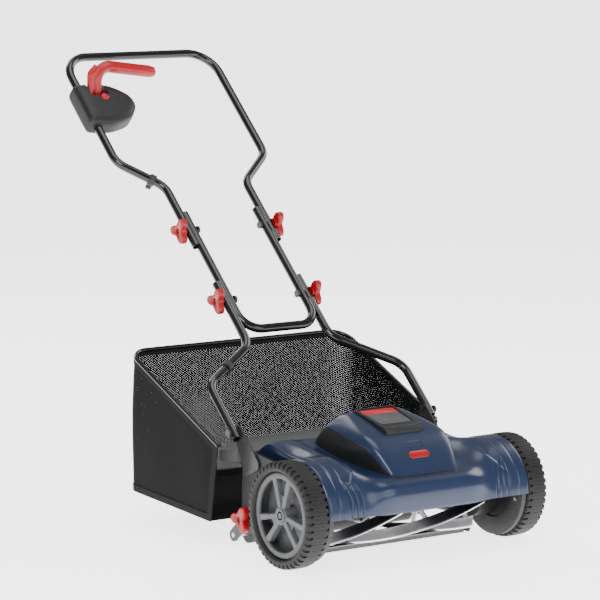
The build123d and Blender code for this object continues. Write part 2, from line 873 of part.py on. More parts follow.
def safety_button():
    """A round press button that stands just proud of the box."""
    top = box_front + 3.5
    cap = handle.location * Pos(button_u, button_v, top - 6) * Cylinder(button_radius, 12)
    return chamfer(cap.edges().sort_by(Axis((0, 0, 0), handle.z_dir))[-1], 1.0)


# ---------------------------------------------------------------- grass bag and deflector
bag_top_z = arch_top + bag_top_rise
bag_mouth_z = arch_top - bag_mouth_drop
bag_floor_z = bag_front_z + bag_floor_rise
rim_slope = math.atan2(bag_top_z - bag_mouth_z, bag_back_y - bag_mouth_y)
bag_rim = Plane(
    origin=(0, bag_mouth_y, bag_mouth_z),
    x_dir=(1, 0, 0),
    z_dir=(0, -math.sin(rim_slope), math.cos(rim_slope)),
)
rim_length = math.hypot(bag_top_z - bag_mouth_z, bag_back_y - bag_mouth_y)


def bag_wire():
    """The rod that holds the bag's mouth open: down one side, across the back and up the other."""
    half = bag_half - bag_wire_radius
    points = [(half, 0), (half, rim_length), (-half, rim_length), (-half, 0)]
    path = bag_rim.location * FilletPolyline(*points, radius=bag_corner)
    section = Plane(origin=path @ 0, z_dir=path % 0) * Circle(bag_wire_radius)
    return sweep(section, path=path)


def bag_panels():
    """Back, sides and floor of the bag as four sheets of cloth."""
    drop = (bag_wire_radius + touch_gap) / math.cos(rim_slope)
    back_y = bag_back_y + bag_wire_radius
    side = polygon(
        (bag_mouth_y, bag_mouth_z - drop),
        (back_y, bag_mouth_z - drop + (back_y - bag_mouth_y) * math.tan(rim_slope)),
        (back_y, bag_floor_z),
        (bag_front_y, bag_front_z),
    )
    right = plate_x(side, bag_half - bag_cloth, bag_half)
    inner = bag_half - bag_cloth - touch_gap
    top = bag_mouth_z - drop + (back_y - bag_cloth - bag_mouth_y) * math.tan(rim_slope)
    back = slab(-inner, inner, back_y - bag_cloth, back_y, bag_floor_z, top)
    base = polygon(
        (bag_front_y, bag_front_z),
        (back_y - bag_cloth - touch_gap, bag_floor_z),
        (back_y - bag_cloth - touch_gap, bag_floor_z + bag_cloth),
        (bag_front_y, bag_front_z + bag_cloth),
    )
    return both(right) + [back, plate_x(base, -inner, inner)]


def deflector():
    """The plate behind the deck that leads the cuttings into the bag."""
    start = deck_rear + touch_gap
    plan = polygon(
        (-wing_half, start),
        (-wing_half, pivot_y + 20),
        (-deflector_half, start + 78),
        (-deflector_nose, start + deflector_reach),
        (deflector_nose, start + deflector_reach),
        (deflector_half, start + 78),
        (wing_half, pivot_y + 20),
        (wing_half, start),
    )
    body = extrude(plan, deflector_lip)
    body -= Pos(0, 0, -deflector_wall) * extrude(offset(plan, -deflector_wall), deflector_lip)
    mouth = wing_half - 8
    body -= slab(-mouth, mouth, start - 1, start + deflector_wall + 1, -1, deflector_lip - deflector_wall)
    turned = Pos(0, start, arch_top - 15 - deflector_lip) * Rot(-deflector_slope, 0, 0) * Pos(0, -start, 0)
    return turned * body


def case_screws():
    """Round-headed screws: three on each guard."""
    screws = []
    for angle in (20, 34, 48):
        y = -84 * math.cos(math.radians(angle))
        z = axle_z + 84 * math.sin(math.radians(angle) - math.radians(30))
        screws += both(rod_x(3.5, disc_inner - 2.2, disc_inner, y, z))
    return screws


# ---------------------------------------------------------------- every node
os.makedirs("parts", exist_ok=True)
base, cover = hood_parts()
save("deck_housing", deck_housing())
save("hood_base", base)
save("hood_cover", cover)
save("battery_pack", battery_pack())
save("battery_latch", latch_block(0) - slab(-latch_half, latch_half, -60, -30, arch_top + 22, arch_top + 60))
save("control_board", control_board())
save("side_plate_right", side_plate(plain_case))
save("side_plate_left", other_side(side_plate(drive_case)))
save("case_screws", *case_screws())
for side, place in (("right", lambda shape: shape), ("left", other_side)):
    save("tyre_" + side, place(tyre()))
    save("rim_" + side, place(rim()))
    save("wheel_bushes_" + side, place(wheel_bushes()))
    save("hub_cap_" + side, place(hub_cap()))
    save("lower_tube_" + side, place(lower_tube()))
    save("lower_knob_" + side, place(joint_knob(joint_low)))
    save("upper_knob_" + side, place(joint_knob(joint_high)))
    save(
        "height_knob_" + side,
        place(lobed_knob(height_bolt_radius, rear_outer + arm_plate, height_knob_y, height_knob_z)),
    )
save("wheel_axles", *both(wheel_axle()))
save("reel_shaft", reel_shaft())
blades = reel_blades()
save("reel_blades", *blades)
save("reel_spiders", *reel_spiders(blades))
save("reel_bearings", *reel_bearings())
save("reel_pulley", pulley(reel_pulley_radius, axle_radius, reel_y, reel_z))
save("motor_pulley", pulley(motor_pulley_radius, motor_shaft_radius, motor_y, motor_z))
save("drive_belt", drive_belt())
save("motor_can", motor_can())
save("motor_shaft", motor_shaft())
save("rotor_core", rotor_core())
save("bedknife", bedknife())
save("bed_bar", bed_bar())
save("roller_arms", *both(roller_arm()))
save("roller_rod", roller_rod())
save("roller", roller())
save("height_bolts", *both(height_bolt()))
save("pivot_brackets", *both(pivot_bracket()))
save("pivot_bolts", *both(pivot_bolt()))
save("middle_frame", middle_frame())
save("upper_handle", upper_handle())
save("joint_bolts", *both(joint_bolt(joint_low)), *both(joint_bolt(joint_high)))
save("switch_box_front", switch_box_front())
save("switch_box_back", switch_box_back())
save("switch_module", switch_module())
save("bail_pin", bail_pin())
save("bail_lever", bail_lever())
save("safety_button", safety_button())
save(
    "upper_cable_clip",
    tube_clip((-outer_u, high_elbow_narrow), (-grip_half, high_elbow_wide), clip_offset),
)
save(
    "lower_cable_clip",
    tube_clip((-foot_u, low_elbow_wide), (-outer_u, low_elbow_narrow), 2.4 * clip_offset),
)
save("bag_wire", bag_wire())
save("grass_bag", *bag_panels())
save("deflector", deflector())
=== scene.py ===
import json
import math

import bmesh
import bpy
import numpy as np
from mathutils import Matrix, Vector


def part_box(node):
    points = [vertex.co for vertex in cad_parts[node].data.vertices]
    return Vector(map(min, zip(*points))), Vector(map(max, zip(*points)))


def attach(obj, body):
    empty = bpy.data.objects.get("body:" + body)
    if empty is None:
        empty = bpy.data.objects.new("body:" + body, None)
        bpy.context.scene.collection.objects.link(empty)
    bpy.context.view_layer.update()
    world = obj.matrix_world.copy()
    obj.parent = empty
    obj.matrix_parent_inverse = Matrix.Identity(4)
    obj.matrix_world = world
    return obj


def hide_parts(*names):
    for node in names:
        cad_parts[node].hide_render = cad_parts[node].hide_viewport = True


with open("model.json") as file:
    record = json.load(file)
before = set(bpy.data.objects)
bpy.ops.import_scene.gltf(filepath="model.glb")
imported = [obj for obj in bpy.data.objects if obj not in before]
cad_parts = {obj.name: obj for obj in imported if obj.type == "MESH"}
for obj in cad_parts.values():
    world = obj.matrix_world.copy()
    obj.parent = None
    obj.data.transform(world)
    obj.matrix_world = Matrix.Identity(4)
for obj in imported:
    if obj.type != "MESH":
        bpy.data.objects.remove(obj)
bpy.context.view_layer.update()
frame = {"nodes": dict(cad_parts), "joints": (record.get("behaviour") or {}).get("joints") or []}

scene = bpy.context.scene
joints = {joint["name"]: joint for joint in frame["joints"]}
print("frame loaded:", len(frame["nodes"]), "nodes")

# Sizes in the dictionaries are millimetres, in the mower's own frame: +Z up, -Y the way it cuts.


def boxOf(node):
    low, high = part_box(node)
    return np.array(low) * 1000, np.array(high) * 1000


def jointAt(name):
    return np.array(joints[name]["pos_m"], float) * 1000


tyreLow, tyreHigh = boxOf("tyre_right")
axle = jointAt("wheel_right_spin") * (0, 1, 1)
tyreRadius = (tyreHigh[2] - tyreLow[2]) / 2
tyreInner, halfWidth = tyreLow[0], tyreHigh[0]
deckLow, deckHigh = boxOf("deck_housing")
deckHalf = deckHigh[0]
archRadius = -deckLow[1] - 8.0
reelCentre = jointAt("reel_spin")
pivot = jointAt("handle_tilt")
handleLean = math.atan2(*(jointAt("upper_fold") - pivot)[1:])
alongHandle = np.array([0, math.sin(handleLean), math.cos(handleLean)])
offHandle = np.array([0, -math.cos(handleLean), math.sin(handleLean)])


def onHandle(u, v, w=0.0):
    return pivot + np.array([u, 0, 0]) + v * alongHandle + w * offHandle


def sided(name, sign):
    return name + ("_right" if sign > 0 else "_left")


# ---- mesh helpers
def newObject(name, mesh):
    piece = bpy.data.objects.new(name, mesh)
    scene.collection.objects.link(piece)
    return piece


def meshFrom(name, points, faces):
    mesh = bpy.data.meshes.new(name)
    mesh.from_pydata([tuple(float(c) / 1000 for c in p) for p in points], [], [tuple(f) for f in faces])
    mesh.validate()
    mesh.update()
    mesh.shade_smooth()
    return newObject(name, mesh)


def gridFaces(rows, columns, closeRows=False, closeColumns=False):
    faces = []
    for row in range(rows if closeRows else rows - 1):
        for column in range(columns if closeColumns else columns - 1):
            nextRow, nextColumn = (row + 1) % rows, (column + 1) % columns
            faces.append((
                row * columns + column, row * columns + nextColumn,
                nextRow * columns + nextColumn, nextRow * columns + column,
            ))
    return faces


def outward(piece):
    cleaner = bmesh.new()
    cleaner.from_mesh(piece.data)
    bmesh.ops.remove_doubles(cleaner, verts=cleaner.verts, dist=1e-6)
    bmesh.ops.recalc_face_normals(cleaner, faces=cleaner.faces)
    cleaner.to_mesh(piece.data)
    cleaner.free()
    piece.data.shade_smooth()
    return piece


def lathe(name, profile, centre, segments=96, flip=False):
    # profile holds (x, radius) pairs, turned about an axis along X through the centre
    points = []
    for x, radius in profile:
        for step in range(segments):
            angle = 2 * math.pi * step / segments
            points.append((centre[0] + (-x if flip else x),
                           centre[1] + radius * math.cos(angle), centre[2] + radius * math.sin(angle)))
    faces = gridFaces(len(profile), segments, closeColumns=True)
    last = (len(profile) - 1) * segments
    if profile[0] != profile[-1]:
        faces.append(tuple(range(segments)))
        faces.append(tuple(range(last, last + segments)))
    else:
        points = points[:last]
        faces = gridFaces(len(profile) - 1, segments, closeRows=True, closeColumns=True)
    return outward(meshFrom(name, points, faces))


def prism(name, outline, toPoint, low, high):
    # outline holds (a, b) pairs; toPoint(a, b, c) gives the place, with c from low to high
    count = len(outline)
    points = [toPoint(a, b, c) for c in (low, high) for a, b in outline]
    faces = [tuple(range(count)), tuple(range(count, 2 * count))]
    faces += [(i, (i + 1) % count, (i + 1) % count + count, i + count) for i in range(count)]
    return outward(meshFrom(name, points, faces))


def block(name, low, high):
    (x0, y0, z0), (x1, y1, z1) = low, high
    return prism(name, [(x0, y0), (x1, y0), (x1, y1), (x0, y1)], lambda a, b, c: (a, b, c), z0, z1)


def baked(piece):
    graph = bpy.context.evaluated_depsgraph_get()
    graph.update()
    mesh = bpy.data.meshes.new_from_object(piece.evaluated_get(graph), depsgraph=graph)
    piece.modifiers.clear()
    piece.data = mesh
    return piece


def rounded(piece, width, segments=3, angle=30):
    bevel = piece.modifiers.new("edges", "BEVEL")
    bevel.width = width / 1000
    bevel.segments = segments
    bevel.limit_method = "ANGLE"
    bevel.angle_limit = math.radians(angle)
    bevel.harden_normals = True
    return baked(piece)


def shell(piece, wall):
    thick = piece.modifiers.new("wall", "SOLIDIFY")
    thick.thickness = wall / 1000
    thick.offset = -1
    return baked(piece)


def cut(piece, tool, how="DIFFERENCE"):
    knife = piece.modifiers.new("cut", "BOOLEAN")
    knife.object = tool
    knife.operation = how
    knife.solver = "EXACT"
    baked(piece)
    bpy.data.objects.remove(tool)
    return piece


def creased(piece, degrees=35):
    piece.data.shade_smooth()
    piece.data.set_sharp_from_angle(angle=math.radians(degrees))
    return piece


def joined(name, pieces):
    whole = bmesh.new()
    for piece in pieces:
        whole.from_mesh(piece.data)
    mesh = bpy.data.meshes.new(name)
    whole.to_mesh(mesh)
    whole.free()
    for material in pieces[0].data.materials:
        mesh.materials.append(material)
    for piece in pieces:
        bpy.data.objects.remove(piece)
    mesh.shade_smooth()
    return newObject(name, mesh)


def finish(piece, body, slot, *nodes, material=None):
    if material is not None:
        piece.data.materials.clear()
        piece.data.materials.append(material)
    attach(piece, body)
    if nodes:
        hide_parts(*nodes)
    return piece


def smoothStep(low, high, value):
    t = np.clip((value - low) / (high - low), 0, 1)
    return t * t * (3 - 2 * t)


def softMax(distances, softness):
    top = np.max(distances, axis=0)
    return top + softness * np.log(np.sum(np.exp((distances - top) / softness), axis=0))


def viewPlanes(points, across, up):
    # half spaces of a convex outline given anticlockwise in the view spanned by two directions
    planes = []
    across, up = np.array(across, float), np.array(up, float)
    for (a0, b0), (a1, b1) in zip(points, points[1:] + points[:1]):
        length = math.hypot(a1 - a0, b1 - b0)
        normal = (across * (b1 - b0) - up * (a1 - a0)) / length
        planes.append((normal, float(normal @ (across * a0 + up * b0))))
    return planes


def solidField(planes, softness, inset=0.0):
    normals = np.array([n for n, d in planes])
    offsets = np.array([d for n, d in planes])

    def field(points):
        return softMax(normals @ points.T - offsets[:, None], softness) + inset
    return field


def roundedSolid(name, field, centre, rings=64, segments=128):
    # a convex rounded solid, found by casting from a point inside it
    centre = np.array(centre, float)
    tilt = (np.arange(rings) + 0.5) / rings * math.pi
    turn = np.arange(segments) / segments * 2 * math.pi
    tiltGrid, turnGrid = np.meshgrid(tilt, turn, indexing="ij")
    ways = np.stack([np.sin(tiltGrid) * np.cos(turnGrid), np.sin(tiltGrid) * np.sin(turnGrid),
                     np.cos(tiltGrid)], -1).reshape(-1, 3)
    ways = np.vstack([ways, [[0, 0, 1], [0, 0, -1]]])
    farthest = 400.0
    low, high = np.zeros(len(ways)), np.full(len(ways), farthest)
    for _ in range(40):
        middle = (low + high) / 2
        inside = field(centre + ways * middle[:, None]) < 0
        low = np.where(inside, middle, low)
        high = np.where(inside, high, middle)
    points = centre + ways * low[:, None]
    faces = gridFaces(rings, segments, closeColumns=True)
    top, bottom = len(ways) - 2, len(ways) - 1
    last = (rings - 1) * segments
    for step in range(segments):
        after = (step + 1) % segments
        faces.append((top, step, after))
        faces.append((bottom, last + after, last + step))
    return outward(meshFrom(name, points, faces))


def filletPath(points, radii, steps=8):
    # a polyline whose corners are arcs
    points = [np.array(p, float) for p in points]
    path = [points[0]]
    for before, corner, after, radius in zip(points, points[1:], points[2:], radii):
        back, ahead = before - corner, after - corner
        back, ahead = back / np.linalg.norm(back), ahead / np.linalg.norm(ahead)
        half = math.acos(np.clip(back @ ahead, -1, 1)) / 2
        bisector = (back + ahead) / np.linalg.norm(back + ahead)
        centre = corner + bisector * radius / math.sin(half)
        first, last = corner + back * radius / math.tan(half), corner + ahead * radius / math.tan(half)
        for step in range(steps + 1):
            t = step / steps
            spoke = (first - centre) * (1 - t) + (last - centre) * t
            path.append(centre + spoke / np.linalg.norm(spoke) * radius)
    path.append(points[-1])
    return path


def swept(name, path, sections, side=(1, 0, 0)):
    # sections gives, for each path point, an array of (a, b) pairs across the path
    path = [np.array(p, float) for p in path]
    side = np.array(side, float)
    rows = []
    for index, (place, section) in enumerate(zip(path, sections)):
        ahead = path[min(index + 1, len(path) - 1)] - path[max(index - 1, 0)]
        ahead /= np.linalg.norm(ahead)
        cross = side - ahead * (side @ ahead)
        if np.linalg.norm(cross) < 0.2:
            cross = np.array([0, 1.0, 0]) - ahead * ahead[1]
        cross /= np.linalg.norm(cross)
        other = np.cross(ahead, cross)
        rows += [place + a * cross + b * other for a, b in section]
    width = len(sections[0])
    faces = gridFaces(len(path), width, closeColumns=True)
    faces += [tuple(range(width)), tuple(range(len(rows) - width, len(rows)))]
    return outward(meshFrom(name, rows, faces))


def circleSection(radius, count=24):
    return [(radius * math.cos(2 * math.pi * i / count), radius * math.sin(2 * math.pi * i / count))
            for i in range(count)]


# ---- geometry node trees for what repeats
def treeWith(name, inputs):
    tree = bpy.data.node_groups.new(name, "GeometryNodeTree")
    tree.is_modifier = True
    tree.interface.new_socket("Geometry", in_out="INPUT", socket_type="NodeSocketGeometry")
    for label, kind in inputs:
        tree.interface.new_socket(label, in_out="INPUT", socket_type="NodeSocket" + kind)
    tree.interface.new_socket("Geometry", in_out="OUTPUT", socket_type="NodeSocketGeometry")
    return tree, tree.nodes.new("NodeGroupInput"), tree.nodes.new("NodeGroupOutput")


def feed(tree, socket, value):
    # links a socket, or sets a plain value
    if isinstance(value, bpy.types.NodeSocket):
        tree.links.new(value, socket)
    elif value is not None:
        socket.default_value = value


def mathNode(tree, operation, first, second=None):
    node = tree.nodes.new("ShaderNodeMath")
    node.operation = operation
    feed(tree, node.inputs[0], first)
    feed(tree, node.inputs[1], second)
    return node.outputs[0]


def radiusAt(tree, first, second):
    # distance from the origin of a plane, from its two coordinates
    squares = [mathNode(tree, "MULTIPLY", value, value) for value in (first, second)]
    return mathNode(tree, "SQRT", mathNode(tree, "ADD", *squares))


def finishTree(tree, geometry, source, output):
    realize = tree.nodes.new("GeometryNodeRealizeInstances")
    paint = tree.nodes.new("GeometryNodeSetMaterial")
    tree.links.new(geometry, realize.inputs[0])
    tree.links.new(realize.outputs[0], paint.inputs["Geometry"])
    tree.links.new(source.outputs["Finish"], paint.inputs["Material"])
    tree.links.new(paint.outputs[0], output.inputs[0])
    return tree


def turnedCopiesTree():
    # copies turned about an axis along X through Centre
    tree, source, output = treeWith(
        "turnedCopies", [("Count", "Int"), ("Phase", "Float"), ("Centre", "Vector"), ("Finish", "Material")])
    nodes, links = tree.nodes, tree.links
    line = nodes.new("GeometryNodeMeshLine")
    line.inputs["Offset"].default_value = (0, 0, 0)
    links.new(source.outputs["Count"], line.inputs["Count"])
    back = nodes.new("ShaderNodeVectorMath")
    back.operation = "SCALE"
    back.inputs["Scale"].default_value = -1
    links.new(source.outputs["Centre"], back.inputs[0])
    toAxis = nodes.new("GeometryNodeTransform")
    links.new(source.outputs["Geometry"], toAxis.inputs["Geometry"])
    links.new(back.outputs[0], toAxis.inputs["Translation"])
    index = nodes.new("GeometryNodeInputIndex")
    share = mathNode(tree, "DIVIDE", index.outputs[0], source.outputs["Count"])
    turn = mathNode(tree, "ADD", mathNode(tree, "MULTIPLY", share, 2 * math.pi), source.outputs["Phase"])
    combine = nodes.new("ShaderNodeCombineXYZ")
    links.new(turn, combine.inputs[0])
    rotation = nodes.new("FunctionNodeEulerToRotation")
    links.new(combine.outputs[0], rotation.inputs[0])
    instance = nodes.new("GeometryNodeInstanceOnPoints")
    links.new(line.outputs[0], instance.inputs["Points"])
    links.new(toAxis.outputs[0], instance.inputs["Instance"])
    links.new(rotation.outputs[0], instance.inputs["Rotation"])
    fromAxis = nodes.new("GeometryNodeTransform")
    links.new(instance.outputs[0], fromAxis.inputs["Geometry"])
    links.new(source.outputs["Centre"], fromAxis.inputs["Translation"])
    return finishTree(tree, fromAxis.outputs[0], source, output)


def steppedCopiesTree():
    # copies in a row, each one Step further on
    tree, source, output = treeWith(
        "steppedCopies", [("Count", "Int"), ("Step", "Vector"), ("Finish", "Material")])
    line = tree.nodes.new("GeometryNodeMeshLine")
    tree.links.new(source.outputs["Count"], line.inputs["Count"])
    tree.links.new(source.outputs["Step"], line.inputs["Offset"])
    instance = tree.nodes.new("GeometryNodeInstanceOnPoints")
    tree.links.new(line.outputs[0], instance.inputs["Points"])
    tree.links.new(source.outputs["Geometry"], instance.inputs["Instance"])
    return finishTree(tree, instance.outputs[0], source, output)


def repeated(piece, tree, **values):
    nodesModifier = piece.modifiers.new(tree.name, "NODES")
    nodesModifier.node_group = tree
    sockets = {s.name: s.identifier for s in tree.interface.items_tree if s.in_out == "INPUT"}
    for label, value in values.items():
        nodesModifier[sockets[label]] = value
    return creased(baked(piece))


turnedCopies = turnedCopiesTree()
steppedCopies = steppedCopiesTree()


def around(piece, count, material, phase=0.0):
    return repeated(piece, turnedCopies, Count=count, Phase=phase,
                    Centre=tuple(float(c) / 1000 for c in axle), Finish=material)


def inRow(piece, count, step, material):
    return repeated(piece, steppedCopies, Count=count, Step=tuple(float(c) / 1000 for c in step),
                    Finish=material)


print("helpers and node trees ready")


# ---- shared shader groups
def shaderGroup(name, inputs, outputs):
    group = bpy.data.node_groups.new(name, "ShaderNodeTree")
    for label, value in inputs.items():
        kind = "NodeSocketColor" if isinstance(value, tuple) else "NodeSocketFloat"
        group.interface.new_socket(label, in_out="INPUT", socket_type=kind).default_value = value
    for label, kind in outputs.items():
        group.interface.new_socket(label, in_out="OUTPUT", socket_type="NodeSocket" + kind)
    return group, group.nodes.new("NodeGroupInput"), group.nodes.new("NodeGroupOutput")


def objectPlace(tree):
    return tree.nodes.new("ShaderNodeTexCoord").outputs["Object"]


def noiseAt(tree, vector, scale, detail=2.0):
    noise = tree.nodes.new("ShaderNodeTexNoise")
    noise.inputs["Detail"].default_value = detail
    tree.links.new(vector, noise.inputs["Vector"])
    feed(tree, noise.inputs["Scale"], scale)
    return noise.outputs["Fac"]


def mixColour(tree, fac, first, second):
    mix = tree.nodes.new("ShaderNodeMix")
    mix.data_type = "RGBA"
    sockets = [s for s in mix.inputs if s.type == "RGBA"]
    for socket, value in ((mix.inputs[0], fac), (sockets[0], first), (sockets[1], second)):
        feed(tree, socket, value)
    return [s for s in mix.outputs if s.type == "RGBA"][0]


def surfaceGroup():
    # moulded or painted skin: colour drift, dust, roughness drift and a fine grain
    group, source, output = shaderGroup(
        "skinGrain",
        {"Colour": (0.1, 0.1, 0.1, 1.0), "Dust": 0.05, "Drift": 0.06, "Rough": 0.4, "RoughDrift": 0.08,
         "Grain": 900.0},
        {"Colour": "Color", "Rough": "Float", "Height": "Float"})
    where = objectPlace(group)
    broad = noiseAt(group, where, 9.0, 3.0)
    fine = noiseAt(group, where, source.outputs["Grain"], 2.0)
    dustMask = mathNode(group, "MULTIPLY", mathNode(group, "POWER", noiseAt(group, where, 42.0, 6.0), 3.0),
                        source.outputs["Dust"])
    lighter = mixColour(group, mathNode(group, "MULTIPLY", broad, source.outputs["Drift"]),
                        source.outputs["Colour"], (0.08, 0.085, 0.09, 1))
    dusty = mixColour(group, dustMask, lighter, (0.11, 0.105, 0.095, 1))
    swing = mathNode(group, "MULTIPLY", mathNode(group, "SUBTRACT", broad, 0.5),
                     source.outputs["RoughDrift"])
    rough = mathNode(group, "ADD", mathNode(group, "ADD", source.outputs["Rough"], swing),
                     mathNode(group, "MULTIPLY", dustMask, 0.6))
    group.links.new(dusty, output.inputs["Colour"])
    group.links.new(rough, output.inputs["Rough"])
    group.links.new(fine, output.inputs["Height"])
    return group


def wearGroup():
    # lighter, rubbed edges
    group, source, output = shaderGroup(
        "edgeWear", {"Colour": (0.1, 0.1, 0.1, 1.0), "Worn": (0.4, 0.4, 0.42, 1.0), "Amount": 0.4},
        {"Colour": "Color", "Mask": "Float"})
    geometry = group.nodes.new("ShaderNodeNewGeometry")
    ramp = group.nodes.new("ShaderNodeMapRange")
    ramp.inputs["From Min"].default_value = 0.52
    ramp.inputs["From Max"].default_value = 0.62
    group.links.new(geometry.outputs["Pointiness"], ramp.inputs["Value"])
    where = objectPlace(group)
    broken = noiseAt(group, where, 160.0, 4.0)
    mask = mathNode(group, "MULTIPLY", mathNode(group, "MULTIPLY", ramp.outputs[0], broken),
                    source.outputs["Amount"])
    group.links.new(mask, output.inputs["Mask"])
    group.links.new(mixColour(group, mask, source.outputs["Colour"], source.outputs["Worn"]),
                    output.inputs["Colour"])
    return group


skinGrain = surfaceGroup()
edgeWear = wearGroup()


def groupIn(tree, group, **values):
    node = tree.nodes.new("ShaderNodeGroup")
    node.node_tree = group
    for label, value in values.items():
        feed(tree, node.inputs[label], value)
    return node


def bumped(tree, shader, height, strength, distance):
    bump = tree.nodes.new("ShaderNodeBump")
    bump.inputs["Strength"].default_value = strength
    bump.inputs["Distance"].default_value = distance
    tree.links.new(height, bump.inputs["Height"])
    tree.links.new(bump.outputs[0], shader.inputs["Normal"])


def skin(name, colour, rough=0.4, metallic=0.0, coat=0.0, coatRough=0.1, bump=0.15, grain=900.0,
         dust=0.05, drift=0.05, wear=0.25, worn=(0.35, 0.35, 0.36, 1), specular=0.5):
    material = bpy.data.materials.new(name)
    material.use_nodes = True
    tree = material.node_tree
    shader = tree.nodes["Principled BSDF"]
    base = groupIn(tree, skinGrain, Colour=(*colour, 1.0), Dust=dust, Drift=drift, Rough=rough,
                   RoughDrift=0.1, Grain=grain)
    rubbed = groupIn(tree, edgeWear, Colour=base.outputs["Colour"], Worn=worn, Amount=wear)
    tree.links.new(rubbed.outputs["Colour"], shader.inputs["Base Color"])
    tree.links.new(base.outputs["Rough"], shader.inputs["Roughness"])
    shader.inputs["Metallic"].default_value = metallic
    shader.inputs["Coat Weight"].default_value = coat
    shader.inputs["Coat Roughness"].default_value = coatRough
    shader.inputs["Specular IOR Level"].default_value = specular
    bumped(tree, shader, base.outputs["Height"], bump, 0.0004)
    return material


navy = skin("navyGloss", (0.0085, 0.018, 0.050), rough=0.30, coat=0.30, coatRough=0.16, bump=0.04,
            grain=500, dust=0.01, drift=0.01, wear=0.06, worn=(0.06, 0.09, 0.16, 1), specular=0.28)
charcoal = skin("charcoalMoulding", (0.0075, 0.0078, 0.0085), rough=0.46, bump=0.30, grain=1400, wear=0.12,
                drift=0.02, specular=0.28)
guardBlack = skin("guardMoulding", (0.006, 0.006, 0.0065), rough=0.42, bump=0.25, grain=1200, wear=0.12,
                  drift=0.02,
                  specular=0.28)
rimGrey = skin("rimMoulding", (0.062, 0.064, 0.068), rough=0.42, bump=0.2, grain=1300, wear=0.25, drift=0.03,
               specular=0.28)
chuteGrey = skin("chuteMoulding", (0.045, 0.047, 0.048), rough=0.5, bump=0.25, grain=1100, wear=0.15)
blackNylon = skin("blackNylon", (0.0035, 0.0035, 0.0037), rough=0.5, bump=0.2, drift=0.01, wear=0.1,
                  specular=0.28)
redMoulding = skin("redMoulding", (0.30, 0.0010, 0.0045), rough=0.36, coat=0.2, coatRough=0.2, bump=0.06,
                   dust=0.01, drift=0.0, wear=0.08, worn=(0.7, 0.15, 0.15, 1), specular=0.28)
tubePaint = skin("tubePaint", (0.0016, 0.0016, 0.0017), rough=0.22, coat=0.5, coatRough=0.08, bump=0.03,
                 grain=700, dust=0.01, drift=0.005, wear=0.03, specular=0.28)
zinc = skin("zincPlate", (0.55, 0.55, 0.54), rough=0.35, metallic=1.0, bump=0.1, dust=0.1, wear=0.2)
blackSteel = skin("blackSteel", (0.0035, 0.0035, 0.0037), rough=0.4, coat=0.2, bump=0.15, wear=0.15,
                  drift=0.01,
                  specular=0.28)
motorSteel = skin("motorSteel", (0.20, 0.20, 0.21), rough=0.45, metallic=1.0, bump=0.15)
boardGreen = skin("boardCoating", (0.02, 0.12, 0.05), rough=0.35, coat=0.4, bump=0.2, grain=300)
beltRubber = skin("beltRubber", (0.008, 0.008, 0.008), rough=0.7, bump=0.4, grain=600)
rubber = skin("treadRubber", (0.0065, 0.0065, 0.0066), rough=0.55, bump=0.35, grain=1000, dust=0.06,
              drift=0.03, wear=0.4, worn=(0.07, 0.07, 0.068, 1), specular=0.25)
labelGrey = skin("labelGrey", (0.045, 0.046, 0.048), rough=0.55, bump=0.5, grain=1800, dust=0.02)
labelRed = skin("labelRed", (0.42, 0.004, 0.008), rough=0.3, coat=0.4, bump=0.02, dust=0.0, drift=0.0,
                wear=0.0)


def bladeMetal(name, colour, rough, centre, radius):
    # ground steel, brighter near the cutting edge
    material = skin(name, colour, rough=rough, metallic=1.0, bump=0.2, grain=700, dust=0.1, wear=0.3,
                    worn=(0.9, 0.9, 0.9, 1))
    tree = material.node_tree
    shader = tree.nodes["Principled BSDF"]
    where = objectPlace(tree)
    split = tree.nodes.new("ShaderNodeSeparateXYZ")
    tree.links.new(where, split.inputs[0])
    across = mathNode(tree, "SUBTRACT", split.outputs[1], centre[1] / 1000)
    up = mathNode(tree, "SUBTRACT", split.outputs[2], centre[2] / 1000)
    far = radiusAt(tree, across, up)
    edge = tree.nodes.new("ShaderNodeMapRange")
    edge.inputs["From Min"].default_value = (radius - 4.0) / 1000
    edge.inputs["From Max"].default_value = (radius - 1.5) / 1000
    tree.links.new(far, edge.inputs["Value"])
    before = shader.inputs["Base Color"].links[0].from_socket
    tree.links.new(mixColour(tree, edge.outputs[0], before, (0.93, 0.93, 0.94, 1)),
                   shader.inputs["Base Color"])
    return material


bladeSteel = bladeMetal("bladeSteel", (0.09, 0.09, 0.094), 0.36, reelCentre, 61.0)
knifeSteel = skin("knifeSteel", (0.16, 0.16, 0.165), rough=0.45, metallic=1.0, bump=0.2, grain=700,
                  dust=0.1, wear=0.3)
print("materials ready")


